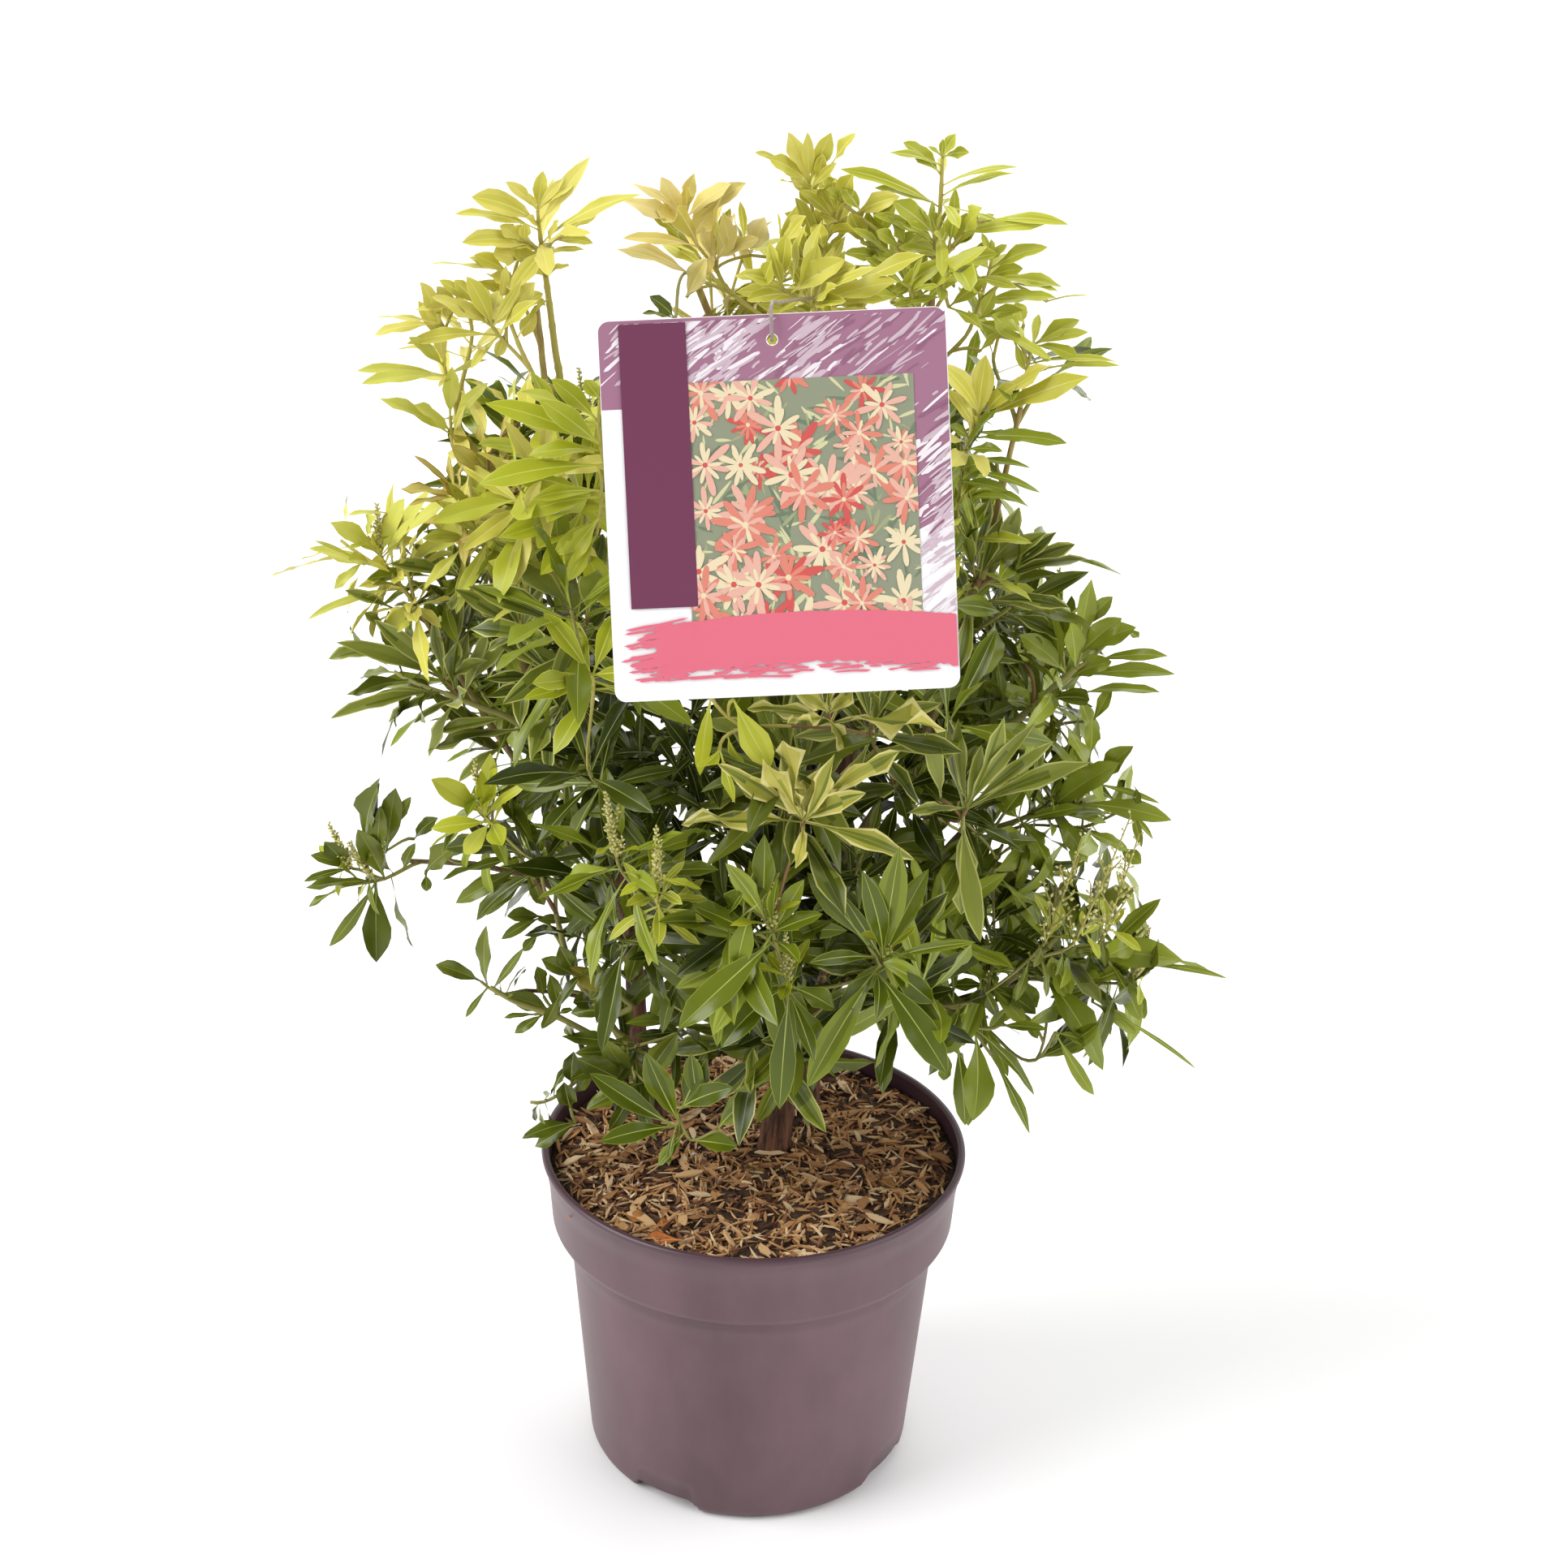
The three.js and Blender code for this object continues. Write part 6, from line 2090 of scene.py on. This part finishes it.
def clip(points, low, high):
    """The part of a flat outline that lies inside an upright rectangle."""
    for axis in (0, 1):
        for limit, sign in ((low[axis], 1), (high[axis], -1)):
            kept = []
            for i, point in enumerate(points):
                before = points[i - 1]
                inside = (point[axis] - limit) * sign >= 0
                was_inside = (before[axis] - limit) * sign >= 0
                if inside != was_inside:
                    t = (limit - before[axis]) / (point[axis] - before[axis])
                    kept.append(tuple(before[k] + (point[k] - before[k]) * t for k in (0, 1)))
                if inside:
                    kept.append(point)
            points = kept
            if len(points) < 3:
                return []
    return points


class Print:
    """Flat inked shapes laid on the card's face, each a hair above the last."""

    def __init__(self):
        self.parts = MeshParts()
        self.matrix = card_matrix()
        self.level = CARD_THICKNESS / 2 + 0.02 * MM

    def lay(self, outline, ink, low=None, high=None, lift=0.0004):
        if low is not None:
            outline = clip(outline, low, high)
        if len(outline) < 3:
            return
        self.level += lift * MM
        points = [self.matrix @ Vector((x, y, self.level)) for x, y in outline]
        self.parts.add(points, [tuple(range(len(points)))], ink)

    def lay_with_hole(self, outline, hole, ink):
        self.level += 0.01 * MM
        loops = [[Vector((x, y, self.level)) for x, y in loop] for loop in (outline, hole)]
        triangles = tessellate_polygon(loops)
        points = [self.matrix @ p for p in loops[0] + loops[1]]
        faces = []
        flat = loops[0] + loops[1]
        for a, b, c in triangles:
            turn = (flat[b] - flat[a]).cross(flat[c] - flat[a]).z
            faces.append((a, b, c) if turn > 0 else (a, c, b))
        self.parts.add(points, faces, ink)


def turned(start, bearing, along, across):
    """The flat point this far from a start along a bearing and across it."""
    cos, sin = polar(1, bearing)
    return start[0] + along * cos - across * sin, start[1] + along * sin + across * cos


def ring(centre, radius, sides, sense=1):
    return [tuple(c + o for c, o in zip(centre, polar(radius, sense * TURN * i / sides))) for i in range(sides)]


def petal(centre, bearing, length, breadth):
    """A round-ended petal that starts at the centre."""
    points = []
    for cos, sin in (polar(1, TURN * i / 12) for i in range(12)):
        along = length * (0.52 + 0.48 * cos)
        across = breadth / 2 * sin * (0.75 + 0.25 * cos)
        points.append(turned(centre, bearing, along, across))
    return points


def brush_stroke(start, bearing, length, breadth, rng):
    """A long dry stroke with ragged ends."""
    points = []
    for along, side in ((0, 0), (0.12, -1), (0.5, -0.8), (0.88, -1), (1, 0), (0.85, 0.8), (0.4, 1), (0.1, 0.7)):
        points.append(turned(start, bearing, length * along, breadth / 2 * side * rng.uniform(0.5, 1.2)))
    return points


PANEL_LOW = (-40 * MM, -58 * MM)
PANEL_HIGH = (60 * MM, 54 * MM)
PLUM_LOW = (-66 * MM, -42 * MM)
PLUM_HIGH = (-37 * MM, 80 * MM)
FIELD_FOOT = 44 * MM
HOLE_MARGIN = 6.5 * MM
LILAC, PLUM, CORAL, LILAC_PALE, LILAC_DEEP, WHITE = range(6)
PANEL, LEAF_DARK, LEAF_GREEN, LEAF_PALE = range(6, 10)
PETALS = PETAL_RED, _, PETAL_PINK, PETAL_CREAM = range(10, 14)
INKS = (
    ("Ink lilac pale", "C6B0BB"),
    ("Ink lilac deep", "8E5F78"),
    ("Ink white", "E6DEE2"),
    ("Ink panel green", "8A9078"),
    ("Ink leaf dark", "6C7C64"),
    ("Ink leaf green", "9AA078"),
    ("Ink leaf pale", "CBC89C"),
    ("Ink petal red", "C85450"),
    ("Ink petal coral", "D4806E"),
    ("Ink petal pink", "DCAA98"),
    ("Ink petal cream", "DFD0AC"),
)


def ink_finishes(settings):
    """The settings' three inks and the picture's own, in the order of their numbers."""
    inks = [
        ("Ink lilac", settings.lilac_colour),
        ("Ink plum", settings.plum_colour),
        ("Ink coral", settings.coral_colour),
    ]
    inks += [(name, tint(code)) for name, code in INKS]
    return [plain_finish(name, colour, 0.38, 1500.0, 0.1) for name, colour in inks]


def brush_marks(sheet, rng, count, spots, low, high):
    """Slanting dry marks that get paler to the left and towards the foot."""
    for _ in range(count):
        start = (rng.triangular(*spots[0]) * MM, rng.triangular(*spots[1]) * MM)
        length = rng.uniform(3, 22) * MM
        bearing = math.radians(rng.gauss(36, 5))
        reaches = (length * t for t in (0, 0.25, 0.5, 0.75, 1))
        if min(math.dist(turned(start, bearing, reach, 0), HOLE_CENTRE) for reach in reaches) < HOLE_MARGIN:
            continue
        share = min(1.0, max(0.0, (75 * MM - start[0]) / (130 * MM) + (60 * MM - start[1]) / (110 * MM)))
        shares = (1 + 4 * share, 1.6 - 1.5 * share, 0.1 + 5 * share**2)
        colour = rng.choices((LILAC_PALE, LILAC_DEEP, WHITE), shares)[0]
        sheet.lay(brush_stroke(start, bearing, length, rng.uniform(0.3, 2.4) * MM, rng), colour, low, high)


def print_field(sheet, rng):
    """The lilac field along the top and down the right margin, and its brush marks."""
    outline = clip(rounded_outline(0.3 * MM), (-CARD_WIDTH, FIELD_FOOT), (CARD_WIDTH, CARD_HEIGHT))
    sheet.lay_with_hole(outline, ring(HOLE_CENTRE, HOLE_RADIUS + 0.2 * MM, 20, -1), LILAC)
    edge = CARD_WIDTH / 2 - 0.4 * MM
    side = [(58 * MM, -14 * MM), (edge, -6 * MM), (edge, FIELD_FOOT), (58 * MM, FIELD_FOOT)]
    sheet.lay(side, LILAC)
    high = (edge, CARD_HEIGHT / 2 - 1.7 * MM)
    brush_marks(sheet, rng, 400, ((-80, 78, -50), (40, 82, 70)), (-edge, FIELD_FOOT), high)
    brush_marks(sheet, rng, 160, ((52, 78, 66), (-64, 46, -14)), (58 * MM, -62 * MM), high)


def star_flower(sheet, rng, centre, size):
    """A flower of narrow petals in two rings."""
    petals = rng.choice((6, 7, 8, 9))
    start = rng.uniform(0, TURN)
    colour = rng.choices(PETALS, (5, 5, 4, 2))[0]
    for layer, scale in ((0, 1.0), (1, 0.62)):
        for i in range(petals):
            bearing = start + TURN * (i + 0.5 * layer) / petals + rng.gauss(0, 0.12)
            length = size * scale * rng.uniform(0.75, 1.1)
            shade = min(PETAL_CREAM, colour + layer + (rng.random() < 0.2))
            sheet.lay(petal(centre, bearing, length, length * 0.3), shade, PANEL_LOW, PANEL_HIGH)
    eye = PETAL_CREAM if colour < PETAL_PINK else PETAL_RED
    sheet.lay(ring(centre, size * 0.09, 10), eye, PANEL_LOW, PANEL_HIGH)


def print_picture(sheet, rng):
    """A panel of star flowers among lance leaves."""
    x0, y0 = PANEL_LOW
    x1, y1 = PANEL_HIGH
    sheet.lay([(x0, y0), (x1, y0), (x1, y1), (x0, y1)], PANEL)
    for _ in range(300):
        centre = (rng.uniform(x0, x1), rng.uniform(y0, y1))
        length = rng.uniform(6, 15) * MM
        shape = petal(centre, rng.uniform(0, TURN), length, length * rng.uniform(0.14, 0.26))
        colour = rng.choices((LEAF_DARK, LEAF_GREEN, LEAF_PALE, PANEL), (3, 4, 6, 1))[0]
        sheet.lay(shape, colour, PANEL_LOW, PANEL_HIGH)
    spots = [(x0 + (x1 - x0) * (i + 0.5) / 7, y0 + (y1 - y0) * (j + 0.5) / 7) for i in range(7) for j in range(7)]
    rng.shuffle(spots)
    for x, y in spots:
        centre = (x + rng.gauss(0, 4) * MM, y + rng.gauss(0, 4) * MM)
        star_flower(sheet, rng, centre, rng.uniform(8, 16) * MM)


def print_bands(sheet, rng):
    """The plain plum band, and the coral brush mark along the foot, ragged at its left end."""
    x0, y0 = PLUM_LOW
    x1, y1 = PLUM_HIGH
    sheet.lay([(x0, y0), (x1, y0), (x1, y1), (x0, y1)], PLUM, lift=0.02)
    sheet.level += 0.02 * MM
    steps = 60
    top = []
    foot = []
    for i in range(steps + 1):
        x = (-56 + 130.4 * i / steps) * MM
        swell = 6 * math.sin(math.pi * (0.1 + 0.8 * i / steps)) * MM
        top.append((x, -52 * MM + swell + rng.uniform(-0.2, 0.2) * MM))
        foot.append((x, -74 * MM + swell + rng.uniform(-0.9, 0.7) * MM))
    for i in range(steps):
        sheet.lay([foot[i], foot[i + 1], top[i + 1], top[i]], CORAL, lift=0.0)
    low = (-CARD_WIDTH / 2 + 2 * MM, -78 * MM)
    high = (CARD_WIDTH / 2 - 0.6 * MM, -40 * MM)
    for _ in range(60):
        start = (rng.uniform(-72, 60) * MM, -71 * MM + rng.uniform(-2.5, 3.0) * MM)
        stroke = brush_stroke(start, rng.gauss(0.03, 0.03), rng.uniform(4, 18) * MM, 1.2 * MM, rng)
        sheet.lay(stroke, CORAL, low, high)
    for _ in range(46):
        start = (rng.triangular(-73, -52, -56) * MM, rng.uniform(-70, -50) * MM)
        breadth = rng.uniform(0.8, 2.6) * MM
        stroke = brush_stroke(start, rng.gauss(0.12, 0.04), rng.uniform(12, 24) * MM, breadth, rng)
        sheet.lay(stroke, CORAL, low, high)


def make_card(settings):
    rng = random.Random(settings.seed)
    sheet = Print()
    print_field(sheet, rng)
    print_picture(sheet, rng)
    print_bands(sheet, rng)
    new_piece("card_print", sheet.parts, ink_finishes(settings), smooth=False)

    stock, tree, shader = new_material("Card stock", 0.42)
    mottled(tree, shader, settings.stock_colour, tint("ECEAEC"), 90.0, 1.0, 0.4)
    grained(tree, shader, 900.0, 0.12, 0.1 * MM)
    dress_node("label_card", stock)


def make_wire(settings):
    wire, tree, shader = new_material("Coated wire", 0.35)
    mottled(tree, shader, settings.wire_colour, tint("A39692"), 400.0, 1.0, 0.3)
    grained(tree, shader, 900.0, 0.2, 0.1 * MM)
    dress_node("label_hook", wire)


def dress_node(name, material):
    """Gives a CAD node its finish without touching its mesh."""
    node = frame["nodes"][name]
    if not node.material_slots:
        node.data.materials.append(material)
    for slot in node.material_slots:
        slot.link = "OBJECT"
        slot.material = material


# ---------------------------------------------------------------- stage
CAMERA_PLACE = Vector((0.0115, -1.1805, 0.9157))
CAMERA_PITCH = 23.74
CAMERA_ROLL = 1.45
CAMERA_LENS = 58.06
SENSOR_WIDTH = 36.0


def make_camera():
    data = bpy.data.cameras.new("Camera")
    data.sensor_fit = "HORIZONTAL"
    data.sensor_width = SENSOR_WIDTH
    data.lens = CAMERA_LENS
    data.clip_start = 0.01
    data.clip_end = 100
    camera = bpy.data.objects.new("Camera", data)
    pitch = Matrix.Rotation(math.radians(90 - CAMERA_PITCH), 4, "X")
    roll = Matrix.Rotation(math.radians(CAMERA_ROLL), 4, "Z")
    camera.matrix_world = Matrix.Translation(CAMERA_PLACE) @ pitch @ roll
    bpy.context.scene.collection.objects.link(camera)
    bpy.context.scene.camera = camera


def make_light(name, place, spread, power):
    """A broad far light that shines from its place on the origin."""
    data = bpy.data.lights.new(name, "SUN")
    data.angle = math.radians(spread)
    data.energy = power
    light = bpy.data.objects.new(name, data)
    place = Vector(place)
    light.matrix_world = Matrix.Translation(place) @ (-place).to_track_quat("-Z", "Y").to_matrix().to_4x4()
    bpy.context.scene.collection.objects.link(light)


def make_floor(settings):
    form = bmesh.new()
    bmesh.ops.create_grid(form, x_segments=8, y_segments=8, size=30)
    mesh = bpy.data.meshes.new("floor")
    form.to_mesh(mesh)
    form.free()
    floor = bpy.data.objects.new("floor", mesh)
    floor.location.z = -0.2 * MM
    bpy.context.scene.collection.objects.link(floor)
    paint, tree, shader = new_material("Studio floor", 0.7, specular=0.2)
    mottled(tree, shader, settings.floor_colour, tint("FAFAFA"), 3.0, 1.0, 0.5)
    mesh.materials.append(paint)


def light_surround(tree, settings):
    """White all round, brighter at eye level than overhead."""
    direction = add_node(tree, "ShaderNodeTexCoord")
    parts = add_node(tree, "ShaderNodeSeparateXYZ", {0: direction.outputs["Generated"]})
    height = add_node(tree, "ShaderNodeMath", {0: parts.outputs["Z"]}, operation="ABSOLUTE")
    strength = add_node(
        tree,
        "ShaderNodeMapRange",
        {
            "Value": height.outputs[0],
            "From Max": 0.5,
            "To Min": settings.horizon_strength,
            "To Max": settings.sky_strength,
        },
        interpolation_type="SMOOTHSTEP",
    )
    background = tree.nodes["Background"]
    background.inputs["Color"].default_value = (1, 1, 1, 1)
    tree.links.new(strength.outputs[0], background.inputs["Strength"])


def make_stage(settings):
    make_camera()
    make_floor(settings)
    make_light("Key light", (-2.4, -0.6, 2.0), 40, settings.key_power)
    make_light("Fill light", (2.5, -0.4, 1.6), 60, settings.fill_power)
    make_light("Back light", (0.4, 1.8, 2.4), 50, settings.back_power)
    world = bpy.data.worlds.new("White surround")
    world.use_nodes = True
    light_surround(world.node_tree, settings)
    bpy.context.scene.world = world
    bpy.context.scene.view_settings.view_transform = "Standard"


# ---------------------------------------------------------------- operators
class PIERIS_OT_stage(bpy.types.Operator):
    """Set the pale floor, the soft lights and the camera"""

    bl_idname = "pieris.stage"
    bl_label = "Set stage"

    def execute(self, context):
        make_stage(context.scene.pieris_stage)
        return {"FINISHED"}


class PIERIS_OT_pot(bpy.types.Operator):
    """Turn the pot with its rolled lip, stepped collar and drain arches"""

    bl_idname = "pieris.pot"
    bl_label = "Make pot"

    def execute(self, context):
        make_pot(context.scene.pieris_pot)
        return {"FINISHED"}


class PIERIS_OT_mulch(bpy.types.Operator):
    """Fill the pot and strew wood fibres, chips, crumbs and dead leaves on it"""

    bl_idname = "pieris.mulch"
    bl_label = "Strew mulch"

    def execute(self, context):
        settings = context.scene.pieris_mulch
        make_soil(settings)
        make_mulch(settings)
        make_fallen_leaves(settings)
        return {"FINISHED"}


class PIERIS_OT_limbs(bpy.types.Operator):
    """Put bark with its relief on the stems and boughs"""

    bl_idname = "pieris.limbs"
    bl_label = "Bark limbs"

    def execute(self, context):
        make_limbs(context.scene.pieris_wood)
        return {"FINISHED"}


class PIERIS_OT_foliage(bpy.types.Operator):
    """Grow twigs, leaves and flower buds on from the limbs"""

    bl_idname = "pieris.foliage"
    bl_label = "Grow foliage"

    def execute(self, context):
        make_foliage(context.scene.pieris_foliage)
        return {"FINISHED"}


class PIERIS_OT_card(bpy.types.Operator):
    """Print the hanging card and finish its wire hook"""

    bl_idname = "pieris.card"
    bl_label = "Print card"

    def execute(self, context):
        make_card(context.scene.pieris_card)
        make_wire(context.scene.pieris_card)
        return {"FINISHED"}


class PIERIS_PT_panel(bpy.types.Panel):
    """Lists the steps that make the potted shrub"""

    bl_idname = "PIERIS_PT_panel"
    bl_label = "Potted pieris"
    bl_space_type = "VIEW_3D"
    bl_region_type = "UI"
    bl_category = "Pieris"

    def draw(self, context):
        for operator, group in zip(OPERATORS, SETTINGS):
            box = self.layout.box()
            box.operator(operator.bl_idname)
            settings = getattr(context.scene, group)
            for name in settings.__annotations__:
                box.prop(settings, name)


OPERATORS = (
    PIERIS_OT_stage,
    PIERIS_OT_pot,
    PIERIS_OT_mulch,
    PIERIS_OT_limbs,
    PIERIS_OT_foliage,
    PIERIS_OT_card,
)
SETTINGS = {
    "pieris_stage": StageSettings,
    "pieris_pot": PotSettings,
    "pieris_mulch": MulchSettings,
    "pieris_wood": WoodSettings,
    "pieris_foliage": FoliageSettings,
    "pieris_card": CardSettings,
}


def register():
    for group in (*SETTINGS.values(), *OPERATORS, PIERIS_PT_panel):
        bpy.utils.register_class(group)
    for name, group in SETTINGS.items():
        setattr(bpy.types.Scene, name, PointerProperty(type=group))


def unregister():
    for name in SETTINGS:
        delattr(bpy.types.Scene, name)
    for group in reversed((*SETTINGS.values(), *OPERATORS, PIERIS_PT_panel)):
        bpy.utils.unregister_class(group)


def main():
    register()
    bpy.ops.pieris.stage()
    bpy.ops.pieris.pot()
    bpy.ops.pieris.mulch()
    bpy.ops.pieris.limbs()
    bpy.ops.pieris.foliage()
    bpy.ops.pieris.card()


if __name__ == "__main__":
    main()
